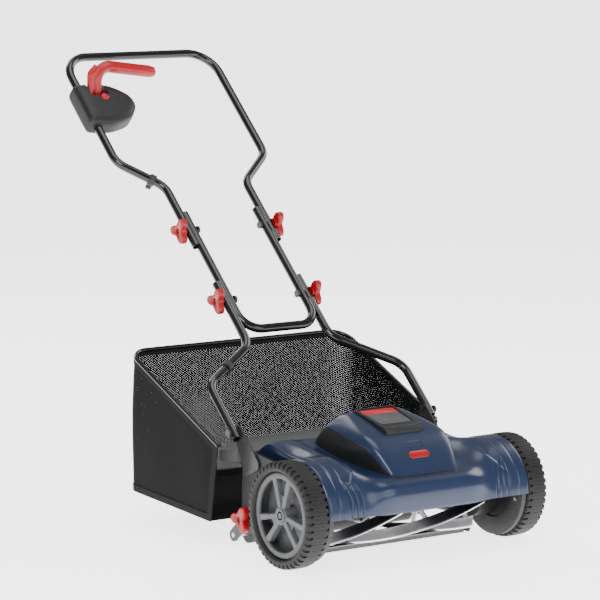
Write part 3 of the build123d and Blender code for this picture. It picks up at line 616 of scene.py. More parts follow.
# ---- camera, lights, floor
def setStage():
    cameraData = bpy.data.cameras.new("camera")
    cameraData.lens = 184.89
    cameraData.sensor_width = 36
    camera = bpy.data.objects.new("camera", cameraData)
    scene.collection.objects.link(camera)
    back, right = Vector((-0.5757, -0.8071, 0.1307)), Vector((0.8141, -0.5807, 0.0))
    turn = Matrix((right, back.cross(right), back)).transposed().to_4x4()
    camera.matrix_world = Matrix.Translation((-3.7291, -4.8802, 1.3240)) @ turn
    scene.camera = camera
    lights = {
        "key": ((-2.6, -1.9, 2.6), 1.8, 95, (1, 1, 1)),
        "front": ((0.9, -3.6, 1.5), 2.0, 40, (0.97, 0.98, 1)),
        "right": ((3.2, 0.4, 2.2), 2.0, 45, (1, 0.99, 0.97)),
        "back": ((0.2, 3.4, 2.6), 2.2, 45, (1, 1, 1)),
        "top": ((0, 0.2, 3.4), 2.6, 60, (1, 1, 1)),
    }
    for name, (place, size, power, colour) in lights.items():
        data = bpy.data.lights.new(name, "AREA")
        data.shape = "DISK"
        data.size = size
        data.energy = power
        data.color = colour
        lamp = bpy.data.objects.new(name, data)
        scene.collection.objects.link(lamp)
        aim = Vector(place) - Vector((0, 0.25, 0.25))
        lamp.matrix_world = aim.to_track_quat("Z", "Y").to_matrix().to_4x4()
        lamp.location = place
    world = bpy.data.worlds.new("paleRoom")
    world.use_nodes = True
    world.node_tree.nodes["Background"].inputs["Color"].default_value = (1, 1, 1, 1)
    world.node_tree.nodes["Background"].inputs["Strength"].default_value = 0.36
    scene.world = world
    floorMesh = bpy.data.meshes.new("floor")
    side = 80.0
    floorMesh.from_pydata([(-side, -side, 0), (side, -side, 0), (side, side, 0), (-side, side, 0)], [],
                          [(0, 1, 2, 3)])
    floor = newObject("floor", floorMesh)
    paper = bpy.data.materials.new("palePaper")
    paper.use_nodes = True
    tree = paper.node_tree
    where = objectPlace(tree)
    tint = mixColour(tree, noiseAt(tree, where, 3.0), (0.90, 0.90, 0.90, 1), (0.93, 0.93, 0.93, 1))
    tree.links.new(tint, tree.nodes["Principled BSDF"].inputs["Base Color"])
    shader = tree.nodes["Principled BSDF"]
    shader.inputs["Roughness"].default_value = 0.6
    shader.inputs["Emission Color"].default_value = (1, 1, 1, 1)
    shader.inputs["Emission Strength"].default_value = 2.9
    floorMesh.materials.append(paper)


setStage()
print("camera, lights and floor ready")


# ---- wheels
wheel = {
    "lugs": 45, "lugDepth": 4.2, "shoulder": 11.0, "bead": 88.0, "sipe": 1.0, "lugShare": 0.62,
    "faceInset": 5.5, "spokeLean": 19.0, "spokeWidth": 11.5, "spokeDepth": 15.0, "hub": 19.0, "cap": 13.5,
    "ring": 73.0,
}


def tyreOn(sign):
    name = "tyreRight" if sign > 0 else "tyreLeft"
    radius, bead, depth = tyreRadius, wheel["bead"], wheel["lugDepth"]
    width = halfWidth - tyreInner
    middle = (halfWidth + tyreInner) / 2
    half = width / 2
    base = radius - depth
    profile = [(-half + 2.5, bead + 0.2), (-half + 0.6, bead + 2.5), (-half, bead + 6.5),
               (-half + 0.8, radius - 11.0), (-half + 3.2, radius - 5.0), (-half + 7.5, base)]
    profile += [(-x, r) for x, r in reversed(profile)]
    carcass = lathe(name + "Carcass",
                    [(middle + x, r) for x, r in profile] + [(middle + profile[0][0], profile[0][1])],
                    axle, 180, flip=sign < 0)
    pitch = 2 * math.pi / wheel["lugs"]
    lugHalf = pitch / 2 - wheel["sipe"] / radius / 2

    def lug(label, across, share, phase):
        # a tread block: outline across the width, followed round the tyre in a few steps
        points = []
        steps = 5
        for x, low, high, narrow in across:
            for step in range(steps):
                angle = phase + (step / (steps - 1) - 0.5) * 2 * share * narrow
                for r in (low, high):
                    points.append((sign * (middle + x), axle[1] + r * math.cos(angle),
                                   axle[2] + r * math.sin(angle)))
        count = len(across)
        faces = []

        def at(i, j, k):
            return (i * steps + j) * 2 + k
        for i in range(count - 1):
            for j in range(steps - 1):
                faces.append((at(i, j, 1), at(i + 1, j, 1), at(i + 1, j + 1, 1), at(i, j + 1, 1)))
                faces.append((at(i, j, 0), at(i, j + 1, 0), at(i + 1, j + 1, 0), at(i + 1, j, 0)))
            faces.append((at(i, 0, 0), at(i + 1, 0, 0), at(i + 1, 0, 1), at(i, 0, 1)))
            faces.append((at(i, steps - 1, 0), at(i, steps - 1, 1), at(i + 1, steps - 1, 1),
                          at(i + 1, steps - 1, 0)))
        for i in (0, count - 1):
            for j in range(steps - 1):
                faces.append((at(i, j, 0), at(i, j, 1), at(i, j + 1, 1), at(i, j + 1, 0)))
        return outward(meshFrom(name + label, points, faces))
    shoulder, narrow = wheel["shoulder"], wheel["lugShare"]
    crossing = [(-half + 0.2, radius - 15.5, radius - 13.0, narrow * 0.7),
                (-half + 0.4, radius - 14.0, radius - 6.5, narrow),
                (-half + 2.6, radius - 8.0, radius - 2.0, narrow),
                (-half + shoulder - 2, base - 1.5, radius - 0.4, narrow),
                (-half + shoulder, base - 1.5, radius - 0.3, 1.0),
                (-half + shoulder + 6, base - 1.0, radius, 1.0)]
    mirroredHalf = [(-x, low, high, share) for x, low, high, share in reversed(crossing)]
    tread = around(lug("Lugs", crossing + mirroredHalf, lugHalf, 0.0), wheel["lugs"], rubber)
    carcass.data.materials.append(rubber)
    whole = joined(name, [carcass, tread])
    return finish(whole, sided("wheel", sign), "tyre_tread",
                  sided("tyre", sign))


def rimOn(sign):
    name = "rimRight" if sign > 0 else "rimLeft"
    face = halfWidth - wheel["faceInset"]
    bead, ring = wheel["bead"], wheel["ring"]
    inner = tyreInner + 2.5
    barrel = lathe(name + "Barrel", [
        (face - 3.0, ring + 0.5), (face - 0.4, ring + 1.4), (face, ring + 3.0), (face, bead - 5.0),
        (face - 0.6, bead - 3.2), (face - 2.6, bead - 1.6), (face - 5.0, bead - 0.3), (inner + 1, bead - 0.3),
        (inner, bead - 1.5), (inner, bead - 3.5), (inner + 1, bead - 4.5), (face - 16, bead - 5.0),
        (face - 9, ring + 4.0), (face - 5, ring + 0.5), (face - 3.0, ring + 0.5)], axle, 160, flip=sign < 0)
    back = lathe(name + "Back", [
        (inner + 9, bead - 4.0), (inner + 9, 16.0), (inner + 12, 16.0), (inner + 12, bead - 4.0),
        (inner + 9, bead - 4.0)], axle, 96, flip=sign < 0)
    hub = lathe(name + "Hub", [
        (inner, 12.0), (inner, wheel["hub"] - 1), (inner + 1, wheel["hub"]), (face - 2.5, wheel["hub"]),
        (face - 0.8, wheel["hub"] - 0.9), (face - 0.3, wheel["hub"] - 2.6), (face - 0.3, wheel["cap"] + 0.6),
        (face - 2.0, wheel["cap"] + 0.2), (face - 2.4, 12.0), (inner, 12.0)], axle, 72, flip=sign < 0)

    low, high = face - wheel["spokeDepth"], face - 1.2
    lean = math.radians(wheel["spokeLean"])
    ribs = []
    for way in (-1, 1):
        along = np.array([0, math.cos(way * lean), math.sin(way * lean)])
        side = np.array([0, -math.sin(way * lean), math.cos(way * lean)])
        wide, crown = wheel["spokeWidth"], 1.6
        outline = [(-wide / 2, low), (-wide / 2, high - crown), (-wide / 2 + crown, high),
                   (wide / 2 - crown, high), (wide / 2, high - crown), (wide / 2, low)]
        points = [axle + along * reach + side * s * grow + np.array([sign * x, 0, 0])
                  for reach, grow in ((12.0, 1.0), (44.0, 0.95), (ring + 6, 1.25)) for s, x in outline]
        faces = gridFaces(3, 6, closeColumns=True) + [tuple(range(6)), tuple(range(12, 18))]
        ribs.append(outward(meshFrom(name + "Rib", points, faces)))
    web = []
    span = math.radians(wheel["spokeLean"])
    arcs = 7
    for x in (face - 9.0, face - 6.0):
        for step in range(arcs):
            angle = -span + 2 * span * step / (arcs - 1)
            web += [axle + np.array([sign * x, reach * math.cos(angle), reach * math.sin(angle)])
                    for reach in (15.0, ring - 26 - 9 * math.cos(math.pi * step / (arcs - 1) - math.pi / 2))]
    faces = []
    for j in range(arcs - 1):
        a, b = 2 * j, 2 * arcs + 2 * j
        faces += [(a, a + 1, a + 3, a + 2), (b, b + 2, b + 3, b + 1), (a + 1, b + 1, b + 3, a + 3),
                  (a, a + 2, b + 2, b)]
    last = 2 * (arcs - 1)
    faces += [(0, 2 * arcs, 2 * arcs + 1, 1), (last, last + 1, 2 * arcs + last + 1, 2 * arcs + last)]
    ribs.append(outward(meshFrom(name + "Web", web, faces)))
    spokes = around(joined(name + "Spoke", ribs), 3, rimGrey, phase=math.pi / 2)
    for piece in (barrel, back, hub):
        piece.data.materials.append(rimGrey)
    whole = creased(joined(name, [barrel, back, hub, spokes]), 40)
    finish(whole, sided("wheel", sign), "grey_plastic", sided("rim", sign))
    capLow = boxOf("hub_cap_right")[0]
    cap = lathe("hubCapRight" if sign > 0 else "hubCapLeft", [
        (capLow[0], 0.01), (capLow[0], wheel["cap"]), (face - 0.9, wheel["cap"]),
        (face - 0.2, wheel["cap"] - 1.0),
        (face, wheel["cap"] - 2.4), (face - 0.5, wheel["cap"] - 3.6), (face - 1.4, 0.01)], axle, 64,
        flip=sign < 0)
    creased(cap, 40)
    finish(cap, sided("wheel", sign), "grey_plastic",
           sided("hub_cap", sign), material=rimGrey)


for sign in (-1, 1):
    tyreOn(sign)
    rimOn(sign)
print("wheels made")


# ---- deck
deck = {
    "wall": 2.6, "bandGroove": 226.0, "lensDepth": 1.8, "grooveDepth": 2.6, "frontRows": 96, "rearRows": 76,
    "grooves": [((166, 98), (170, 145), (173, 168), (177, 176)),
                ((181, 98), (183, 141), (186, 170), (192, 181)),
                ((195, 98), (197, 143), (199, 172), (205, 186))],
}


def archCurve(turn):
    # turn in degrees round the axle, 180 at the front, 90 at the top
    return (axle[1] + archRadius * math.cos(math.radians(turn)),
            axle[2] + archRadius * math.sin(math.radians(turn)))


def spaced(points, count):
    points = np.array(points, float)
    lengths = np.concatenate([[0], np.cumsum(np.linalg.norm(np.diff(points, axis=0), axis=1))])
    at = np.linspace(0, lengths[-1], count)
    return np.stack([np.interp(at, lengths, points[:, i]) for i in range(points.shape[1])], -1)


def smoothPath(points, count):
    # a Catmull-Rom curve through the points, evenly spaced
    points = [np.array(p, float) for p in points]
    points = [2 * points[0] - points[1]] + points + [2 * points[-1] - points[-2]]
    dense = []
    for a, b, c, d in zip(points, points[1:], points[2:], points[3:]):
        for t in np.linspace(0, 1, 16, endpoint=False):
            dense.append(0.5 * (2 * b + (c - a) * t + (2 * a - 5 * b + 4 * c - d) * t * t
                                + (3 * b - a - 3 * c + d) * t ** 3))
    dense.append(points[-2])
    return spaced(dense, count)


def deckProfiles(frontCount, rearCount):
    # side outlines: the middle of the deck, the shoulder, its outer edge, and the band round the wheel
    arch = spaced([archCurve(turn) for turn in np.linspace(180, 90, 60)], frontCount)
    edge = deckHigh[1]
    inner = smoothPath([arch[-1], (26, 215), (52, 217), (100, 221), (155, 224), (176, 219), (edge, 197)],
                       rearCount)
    outer = smoothPath([arch[-1], (22, 209), (52, 201), (100, 203), (155, 215), (176, 213), (edge, 194)],
                       rearCount)
    band = spaced([archCurve(turn) for turn in np.linspace(90, 22, 50)], rearCount)
    centre = smoothPath([(-105, 106), (-108, 112), (-112.3, 132), (-110, 150), (-99, 165), (-60, 177),
                         (40, 192),
                         (110, 206), (155, 217), (176, 213), (edge, 194)], frontCount + rearCount - 1)
    return centre, *(np.vstack([arch, rear[1:]]) for rear in (inner, outer, band))


def evened(values, width):
    # a running mean that takes the corners off a line
    padded = np.pad(values, width // 2, mode="edge")
    return np.convolve(padded, np.ones(width) / width, mode="valid")


def deckStations():
    edges = [0, 60, 110, 160, 204.4, 206.2, 224.5, 227.5, deckHalf - 3.0, deckHalf]
    counts = [4, 6, 14, 34, 4, 8, 5, 8, 4]
    half = [x for low, high,
            count in zip(edges, edges[1:], counts) for x in np.linspace(low, high, count, endpoint=False)]
    half.append(edges[-1])
    return np.array([-x for x in reversed(half[1:])] + half)


def deckPoints():
    frontCount, rearCount = deck["frontRows"], deck["rearRows"]
    centre, inner, outer, ring = deckProfiles(frontCount, rearCount)
    rows = frontCount + rearCount - 1
    share = np.linspace(0, 1, rows)
    stations = deckStations()
    grid = np.zeros((len(stations), rows, 3))
    # the shoulder swells out of the deck further in at the bottom than over the top
    swellEnd = evened(np.interp(share, [0, 0.12, 0.28, 0.42, 1], [162, 164, 180, 200, 198]), 41)
    swellStart = swellEnd - evened(np.interp(share, [0, 0.2, 0.4, 1], [70, 84, 100, 75]), 41)
    for i, x in enumerate(stations):
        side = abs(x)
        t = np.clip((side - swellStart) / (swellEnd - swellStart), 0, 1)
        swell = (t * t * t * (t * (t * 6 - 15) + 10))[:, None]
        fall = smoothStep(148, 204, side)
        step = smoothStep(204.6, 206.0, side)
        line = centre * (1 - swell) + (inner * (1 - fall) + outer * fall) * swell
        line = line * (1 - step) + ring * step
        grid[i, :, 0], grid[i, :, 1:] = x, line
    normals = np.cross(np.gradient(grid, axis=0), np.gradient(grid, axis=1))
    normals /= np.linalg.norm(normals, axis=2)[:, :, None] + 1e-9
    if normals[len(stations) // 2, rows // 2, 2] < 0:
        normals = -normals
    return grid - normals * deckRelief(grid)[:, :, None]


def deckRelief(grid):
    # how far the skin sinks in: band groove, rolled outer edge, the lens behind the crest, three grooves
    side = np.abs(grid[:, :, 0])
    along, height = grid[:, :, 1], grid[:, :, 2]
    sink = 1.5 * np.exp(-((side - deck["bandGroove"]) / 1.0) ** 2)
    sink += 2.0 * smoothStep(deckHalf - 3.0, deckHalf, side)
    front = smoothStep(10, -50, along)
    crest = np.interp(height, [112, 129, 155, 171, 183, 193, 205], [207, 206, 200, 187, 176, 166, 158])
    lens = smoothStep(crest - 1.0, crest + 5.0, side) * smoothStep(206.0, 204.4, side)
    sink += deck["lensDepth"] * lens * front * smoothStep(116, 128, height)
    for places in deck["grooves"]:
        heights = [z for x, z in places]
        groove = np.interp(height, heights, [x for x, z in places])
        reach = smoothStep(heights[0], heights[0] + 10,
                           height) * smoothStep(heights[-1] + 2, heights[-1] - 12, height)
        off = side - groove
        # a sharp inboard lip that dies away outboard
        lip = np.where(off < 0, np.exp(-(off / 0.9) ** 2), np.exp(-(off / 4.6) ** 2))
        sink += deck["grooveDepth"] * lip * reach * front
    return sink


def buildDeck():
    grid = deckPoints()
    grid[:, :, 1] = np.clip(grid[:, :, 1], deckLow[1] + 0.2, deckHigh[1])
    piece = meshFrom("deckSkin", grid.reshape(-1, 3), gridFaces(*grid.shape[:2]))
    middle = len(piece.data.polygons) // 2
    if piece.data.polygons[middle].normal.z < 0:
        piece.data.flip_normals()
    shell(piece, deck["wall"])
    finish(creased(piece, 50), "chassis", "blue_body", "deck_housing", material=navy)


buildDeck()
print("deck made")


# ---- hood, battery, latch and badge
hood = {
    "soft": 5.0, "wall": 3.0, "seamGap": 0.9, "bayGap": 1.6,
    "profile": [(-104, 158), (-52, 227), (-24, 247), (95, 283), (113, 278), (152, 205), (152, 150),
                (-92, 150)],
    "front": [(-124, 150), (124, 150), (122, 205), (103, 251), (60, 289), (-60, 289), (-103, 251),
              (-122, 205)],
    "plan": [(-76, -106), (76, -106), (94, -68), (112, 0), (126, 156), (-126, 156), (-112, 0), (-94, -68)],
    "seam": [(-140, 168), (-92, 174), (-72, 184), (-46, 206), (-20, 226), (100, 249), (190, 253)],
}
batteryTilt = math.atan2(0.235142, 0.971961)
batteryUp = np.array([0, -math.sin(batteryTilt), math.cos(batteryTilt)])
batteryAlong = np.array([0, math.cos(batteryTilt), math.sin(batteryTilt)])
batteryTop = np.array([0, 36.0, 271.5])
battery = {"front": 46.0, "rear": 51.0, "half": 57.0, "depth": 54.0, "rim": 6.0, "panel": 3.0, "corner": 7.0}


def inBattery(u, v, w):
    return batteryTop + np.array([u, 0, 0]) + v * batteryAlong + w * batteryUp


def hoodPlanes():
    planes = viewPlanes(hood["front"], (1, 0, 0), (0, 0, 1))
    planes += viewPlanes(hood["plan"], (1, 0, 0), (0, 1, 0))
    # the side outline runs the other way round in its view
    planes += viewPlanes(hood["profile"][::-1], (0, 1, 0), (0, 0, 1))
    return planes


def trapezoid(front, rear, low, high, corner, count=6):
    # rounded outline in the battery's own plane, anticlockwise
    corners = [(-front, low), (front, low), (rear, high), (-rear, high)]
    outline = []
    for index, corner0 in enumerate(corners):
        before = np.array(corners[index - 1], float) - corner0
        after = np.array(corners[(index + 1) % 4], float) - corner0
        before, after = before / np.linalg.norm(before), after / np.linalg.norm(after)
        half = math.acos(before @ after) / 2
        middle = np.array(corner0) + (before + after) / np.linalg.norm(before
                                                                       + after) * corner / math.sin(half)
        start = np.array(corner0) + before * corner / math.tan(half) - middle
        stop = np.array(corner0) + after * corner / math.tan(half) - middle
        for t in np.linspace(0, 1, count):
            spoke = start * (1 - t) + stop * t
            outline.append(tuple(middle + spoke / np.linalg.norm(spoke) * corner))
    return outline


def buildHood():
    field = solidField(hoodPlanes(), hood["soft"])
    inner = solidField(hoodPlanes(), hood["soft"], hood["wall"])
    centre = (0, 30, 215)
    outside = roundedSolid("hoodSolid", field, centre, 90, 180)
    inside = roundedSolid("hoodInside", inner, centre, 48, 96)
    # the shell reaches down through the deck, so its inside opens downwards
    cut(outside, inside)
    gap = hood["bayGap"]
    bay = prism("bay", trapezoid(battery["front"] + gap, battery["rear"] + gap, -battery["half"] - gap,
                                 battery["half"] + gap, battery["corner"] + 1), inBattery, -70, 60)
    cut(outside, bay)
    pocketLow, pocketHigh = boxOf("battery_latch")
    pocket = block("pocket", pocketLow - (0.9, 0.9, 2), pocketHigh + (0.9, 0.9, 60))
    cut(outside, pocket)
    seam = hood["seam"]
    above = [(y, z) for y, z in seam] + [(220, 380), (-160, 380)]
    lower = [(y, z - hood["seamGap"]) for y, z in seam] + [(220, 380), (-160, 380)]
    tool = prism("seamTool", above, lambda a, b, c: (c, a, b), -200, 200)
    tool2 = prism("seamTool2", lower, lambda a, b, c: (c, a, b), -200, 200)
    base = newObject("hoodBase", outside.data.copy())
    cut(outside, tool, how="INTERSECT")
    cut(base, tool2)
    outside.name = "hoodCover"
    finish(creased(outside, 45), "chassis", "blue_body", "hood_cover", material=navy)
    finish(creased(base, 45), "chassis", "dark_body", "hood_base", material=charcoal)
    return field


def surfacePoint(field, start, way):
    start, way = np.array(start, float), np.array(way, float)
    way /= np.linalg.norm(way)
    low, high = 0.0, 200.0
    for _ in range(40):
        middle = (low + high) / 2
        if field((start + way * middle)[None])[0] < 0:
            low = middle
        else:
            high = middle
    return start + way * low


def buildBattery():
    front, rear, half = battery["front"], battery["rear"], battery["half"]
    top, rim, corner = 0.0, battery["rim"], battery["corner"]
    shellPiece = prism("batteryFrame", trapezoid(front, rear, -half, half, corner), inBattery,
                       -battery["depth"], top)
    rounded(shellPiece, 2.2, 3, 40)
    well = prism("well", trapezoid(front - rim, rear - rim, -half + 27, half - rim, 4), inBattery,
                 -battery["panel"], 5)
    cut(shellPiece, well)
    nose = prism("nose", [(-half - 8, -2), (-half - 8, 12), (-half + 12, 12), (-half + 12, 1.0),
                          (-half + 10, -1.0),
                          (-half - 2, -9)], lambda a, b, c: inBattery(c, a, b), -60, 60)
    cut(shellPiece, nose)
    creased(shellPiece, 35)
    finish(shellPiece, "battery", "dark_body", "battery_pack", material=charcoal)
    split = half - 32

    def panelPiece(name, low, high, material, slot):
        inset = 0.8

        def widthAt(v):
            return front - rim + (rear - front) * (v + half) / (2 * half) - inset
        piece = prism(name, trapezoid(widthAt(low), widthAt(high), low, high, 3), inBattery,
                      -battery["panel"] - 0.2, -battery["panel"] + 1.0)
        rounded(piece, 0.6, 2, 40)
        return finish(creased(piece, 35), "battery", slot, material=material)
    panelPiece("batteryGreyPanel", -half + 28, split - 0.8, labelGrey, "dark_body")
    panelPiece("batteryRedPanel", split + 0.2, half - rim - 1, labelRed, "red_plastic")
    # finger ribs across the front lip
    rib = prism("batteryRibs", trapezoid(front - 14, front - 14, -half + 9.5, -half + 11.5, 0.8, 4),
                inBattery,
                -1.4, -0.1)
    step = batteryAlong * 2.8
    ribs = inRow(rib, 2, step, charcoal)
    finish(ribs, "battery", "dark_body")


def buildLatchAndBadge(field):
    # the latch follows the slope of the hood, so only its gap shows
    low, high = boxOf("battery_latch")
    latch = roundedSolid("batteryLatch", solidField(hoodPlanes(), hood["soft"], 0.4), (0, 30, 215), 90, 180)
    cut(latch, block("latchBlock", low, high), how="INTERSECT")
    finish(creased(latch, 40), "battery_latch", "blue_body", "battery_latch", material=navy)
    out = np.array([0, -0.80, 0.60])
    centre = surfacePoint(field, (0, -30, 190), out + np.array([0, 0.0, -0.12]))
    slope = np.cross(out, (1, 0, 0))
    slope *= np.sign(slope[2])
    pill = [(17 * way + 8 * math.cos(a), 8 * math.sin(a))
            for way, a0 in ((1, -90), (-1, 90)) for a in np.radians(np.linspace(a0, a0 + 180, 14))]
    badge = prism("frontBadge", pill, lambda a, b, c: centre + np.array([a, 0, 0]) + b * slope + c * out,
                  -5.0, 1.3)
    rounded(badge, 0.8, 3)
    finish(creased(badge, 40), "chassis", "red_plastic", material=redMoulding)


hoodField = buildHood()
buildBattery()
buildLatchAndBadge(hoodField)
print("hood and battery made")


# ---- knobs
knob = {"core": 14.5, "reach": 22.0, "lobe": 9.0, "bore": 5.2, "edge": 2.2, "neck": 11.0, "turns": 96}


def knobOutline(angle):
    # three lobes, one of them to the rear, with hollow flanks between
    lobes = ((1 + math.cos(3 * angle)) / 2) ** 1.25
    return knob["core"] + (knob["reach"] + knob["lobe"] - 1.0 - knob["core"]) * lobes


def buildKnob(node, body):
    low, high = boxOf(node)
    sign = 1 if low[0] + high[0] > 0 else -1
    near, far = (low[0], high[0]) if sign > 0 else (-high[0], -low[0])
    centre = jointAt(node + "_turn")[1:]
    plate = near + 4.0
    turns = knob["turns"]
    rows = []
    edge = knob["edge"]
    for x, shrink, plain in [
            (near, 0, knob["neck"]), (plate - 0.6, 0, knob["neck"]), (plate, -3.5, None),
            (plate, -edge, None),
            (plate + 0.7, -0.7, None), (plate + edge, 0, None), (far - edge, 0, None),
            (far - 0.7, -0.6, None),
            (far, -edge, None), (far, -4.2, None), (far, 0, knob["bore"] + 3.4),
            (far - 0.7, 0, knob["bore"] + 2.4),
            (far - 1.0, 0, knob["bore"] + 0.5), (far - 2.2, 0, knob["bore"]),
            (far - 7.5, 0, knob["bore"] - 0.3)]:
        for turn in range(turns):
            angle = 2 * math.pi * turn / turns
            radius = plain if plain is not None else knobOutline(angle) + shrink
            rows.append((sign * x, centre[0] + radius * math.cos(angle),
                         centre[1] + radius * math.sin(angle)))
    faces = gridFaces(15, turns, closeColumns=True) + [tuple(range(turns)),
                                                       tuple(range(14 * turns, 15 * turns))]
    piece = creased(outward(meshFrom(node.replace("_", "") + "Grip", rows, faces)), 50)
    finish(piece, body, "red_plastic", node, material=redMoulding)
    # the end of the bolt, deep in the recess
    tip = lathe(node.replace("_", "") + "Insert", [
        (far - 7.4, 0.01), (far - 7.4, 4.4), (far - 6.2, 4.4), (far - 5.6, 3.6), (far - 5.6, 0.01)],
        (0, *centre), 24, flip=sign < 0)
    finish(creased(tip, 40), body, "zinc_steel", material=blackSteel)


for kind in ("height_knob", "lower_knob", "upper_knob"):
    for side in ("left", "right"):
        buildKnob(kind + "_" + side, kind + "_" + side)
print("knobs made")


# ---- finishes of the pieces that stay as the frame has them
frameFinish = {
    guardBlack: ["side_plate_left", "side_plate_right"],
    chuteGrey: ["deflector"],
    tubePaint: ["lower_tube_left", "lower_tube_right", "middle_frame", "upper_handle", "bag_wire"],
    blackSteel: ["joint_bolts", "pivot_bolts", "height_bolts", "roller_arms", "pivot_brackets", "bed_bar"],
    blackNylon: ["lower_cable_clip", "upper_cable_clip", "roller", "switch_module", "wheel_bushes_left",
                 "wheel_bushes_right", "reel_pulley", "motor_pulley"],
    zinc: ["wheel_axles", "roller_rod", "reel_shaft", "reel_spiders", "reel_bearings", "case_screws",
           "motor_shaft",
           "bail_pin"],
    bladeSteel: ["reel_blades"],
    knifeSteel: ["bedknife"],
    motorSteel: ["motor_can", "rotor_core"],
    beltRubber: ["drive_belt"],
    boardGreen: ["control_board"],
}


def dressFrame():
    for material, nodes in frameFinish.items():
        for node in nodes:
            piece = bpy.data.objects[node]
            for slot in piece.material_slots:
                slot.material = material
            if not piece.material_slots:
                piece.data.materials.append(material)


dressFrame()
print("frame pieces finished")


# ---- switch box, bail and button
switchBox = {
    "outline": [(-217, 840), (-156, 834), (-106, 850), (-80, 884), (-84, 915), (-124, 947), (-168, 956),
                (-217, 951)],
    "soft": 3.0, "seam": -9.0, "seamGap": 0.7, "low": -27.0, "high": 25.5, "armWay": 2.0, "screw": 3.2,
}
bail = {"arm": (-176.0, -156.0), "elbow": 30.0, "width": 10.0, "depth": 8.0, "barWidth": 12.4,
        "barDepth": 11.6}
tubeRadius = 9.5
gripHalf = 195.5


def handlePlanes(outline, low, high):
    origin = onHandle(0, 0)
    across = np.array([1.0, 0, 0])
    planes = [(n, d + float(n @ origin)) for n, d in viewPlanes(outline, across, alongHandle)]
    caps = [(offHandle, high), (-offHandle, -low)]
    # the rim of each face leans in a little
    planes += [(n, d + float(n @ origin)) for n, d in caps]
    for n, d in list(planes[:len(outline)]):
        for cap, level in caps:
            lean = (n * 0.55 + cap * 0.835)
            edge = d * 0.55 + (level + float(cap @ origin)) * 0.835 - 5.5
            planes.append((lean, edge))
    return planes


def handleBlock(name, u, v, w):
    return prism(name, [(u[0], v[0]), (u[1], v[0]), (u[1], v[1]), (u[0], v[1])],
                 lambda a, b, c: onHandle(a, b, c), *w)


def handleRod(name, start, end, radius, count=40):
    start, end = onHandle(*start), onHandle(*end)
    middle = (start + end) / 2
    return swept(name, [start, middle, end], [circleSection(radius, count)] * 3)


def buildSwitchBox():
    centre = onHandle(-158, 897, 0)
    whole = roundedSolid("switchBoxFront", solidField(handlePlanes(switchBox["outline"], switchBox["low"],
                                                                   switchBox["high"]), switchBox["soft"]),
                         centre, 80, 160)
    cut(whole, handleRod("tubeWay", (-gripHalf, 820, 0), (-gripHalf, 980, 0), tubeRadius + 0.15))
    left, right = bail["arm"]
    way = switchBox["armWay"]
    cut(whole, handleBlock("armWay", (left - bail["width"] - way, right + bail["width"] + way), (912, 990),
                           (-8, 60)))
    low, high = boxOf("safety_button")
    place = (low + high) / 2 - pivot
    buttonU, buttonV = place[0], float(place @ alongHandle)
    cut(whole, handleRod("buttonWay", (buttonU, buttonV, 8), (buttonU, buttonV, 60), 10.4))
    cut(whole, handleRod("screwWay", (-128, 838, -18), (-128, 866, -18), switchBox["screw"], 24))
    back = newObject("switchBoxBack", whole.data.copy())
    seam = switchBox["seam"]
    cut(whole, handleBlock("frontHalf", (-300, 0), (780, 1040), (seam, 90)), how="INTERSECT")
    cut(back, handleBlock("backHalf", (-300, 0), (780, 1040), (seam - switchBox["seamGap"], -90)),
        how="INTERSECT")
    finish(creased(whole, 40), "upper_handle", "dark_body", "switch_box_front", material=charcoal)
    finish(creased(back, 40), "upper_handle", "dark_body", "switch_box_back", material=charcoal)
    top = switchBox["high"] + 3.2
    rings = [(8, 9.4), (top - 2.2, 9.4), (top - 0.9, 9.0), (top - 0.2, 8.0), (top, 6.4), (top - 0.5, 3.4)]
    button = swept("safetyButton", [onHandle(buttonU, buttonV, w) for w, r in rings],
                   [circleSection(r, 40) for w, r in rings])
    finish(creased(button, 45), "safety_button", "red_plastic", "safety_button", material=redMoulding)


def barSection(wide, deep, count=32, square=3.0):
    # a rounded oblong
    section = []
    for step in range(count):
        angle = 2 * math.pi * step / count
        c, d = math.cos(angle), math.sin(angle)
        scale = (abs(c) ** square + abs(d) ** square) ** (-1 / square)
        section.append((wide * c * scale, deep * d * scale))
    return section


def buildBail():
    hinge = jointAt("bail_squeeze") - pivot
    pivotV, pivotW = float(hinge @ alongHandle), float(hinge @ offHandle)
    tilt, reach = math.radians(46.0), 75.0
    tipV, tipW = pivotV + reach * math.cos(tilt), pivotW + reach * math.sin(tilt)
    left, right = bail["arm"]
    route = filletPath([onHandle(right - 3, pivotV - 4, pivotW - 4), onHandle(right - 6, tipV, tipW),
                        onHandle(-13, tipV - 14, tipW - 14)], [bail["elbow"]], 16)
    route = [route[0] * (1 - t) + route[1] * t for t in (0, 0.3, 0.6)] + route[1:-1] + [
        route[-2] * (1 - t) + route[-1] * t for t in (0.3, 0.6, 0.9, 1.0)]
    grow = np.clip(np.arange(len(route)) / 9.0, 0, 1)
    sections = [barSection(bail["depth"] + (bail["barDepth"] - bail["depth"]) * g,
                           bail["width"] + (bail["barWidth"] - bail["width"]) * g) for g in grow]
    sections[-1] = [(a * 0.82, b * 0.82) for a, b in sections[-1]]
    lever = swept("bailLever", route, sections, side=tuple(np.cross(alongHandle, (1, 0, 0))))
    rear = filletPath([onHandle(left, pivotV - 4, pivotW - 4), onHandle(left, tipV - 14, tipW - 12),
                       onHandle(right - 4, tipV - 4, tipW - 2)], [12.0], 8)
    arm = swept("bailArm", rear, [barSection(bail["depth"] * 0.8, bail["width"] * 0.85)] * len(rear),
                side=tuple(np.cross(alongHandle, (1, 0, 0))))
    finish(creased(joined("bailLever", [lever, arm]), 40), "bail", "red_plastic", "bail_lever",
           material=redMoulding)


buildSwitchBox()
buildBail()
print("switch box and bail made")


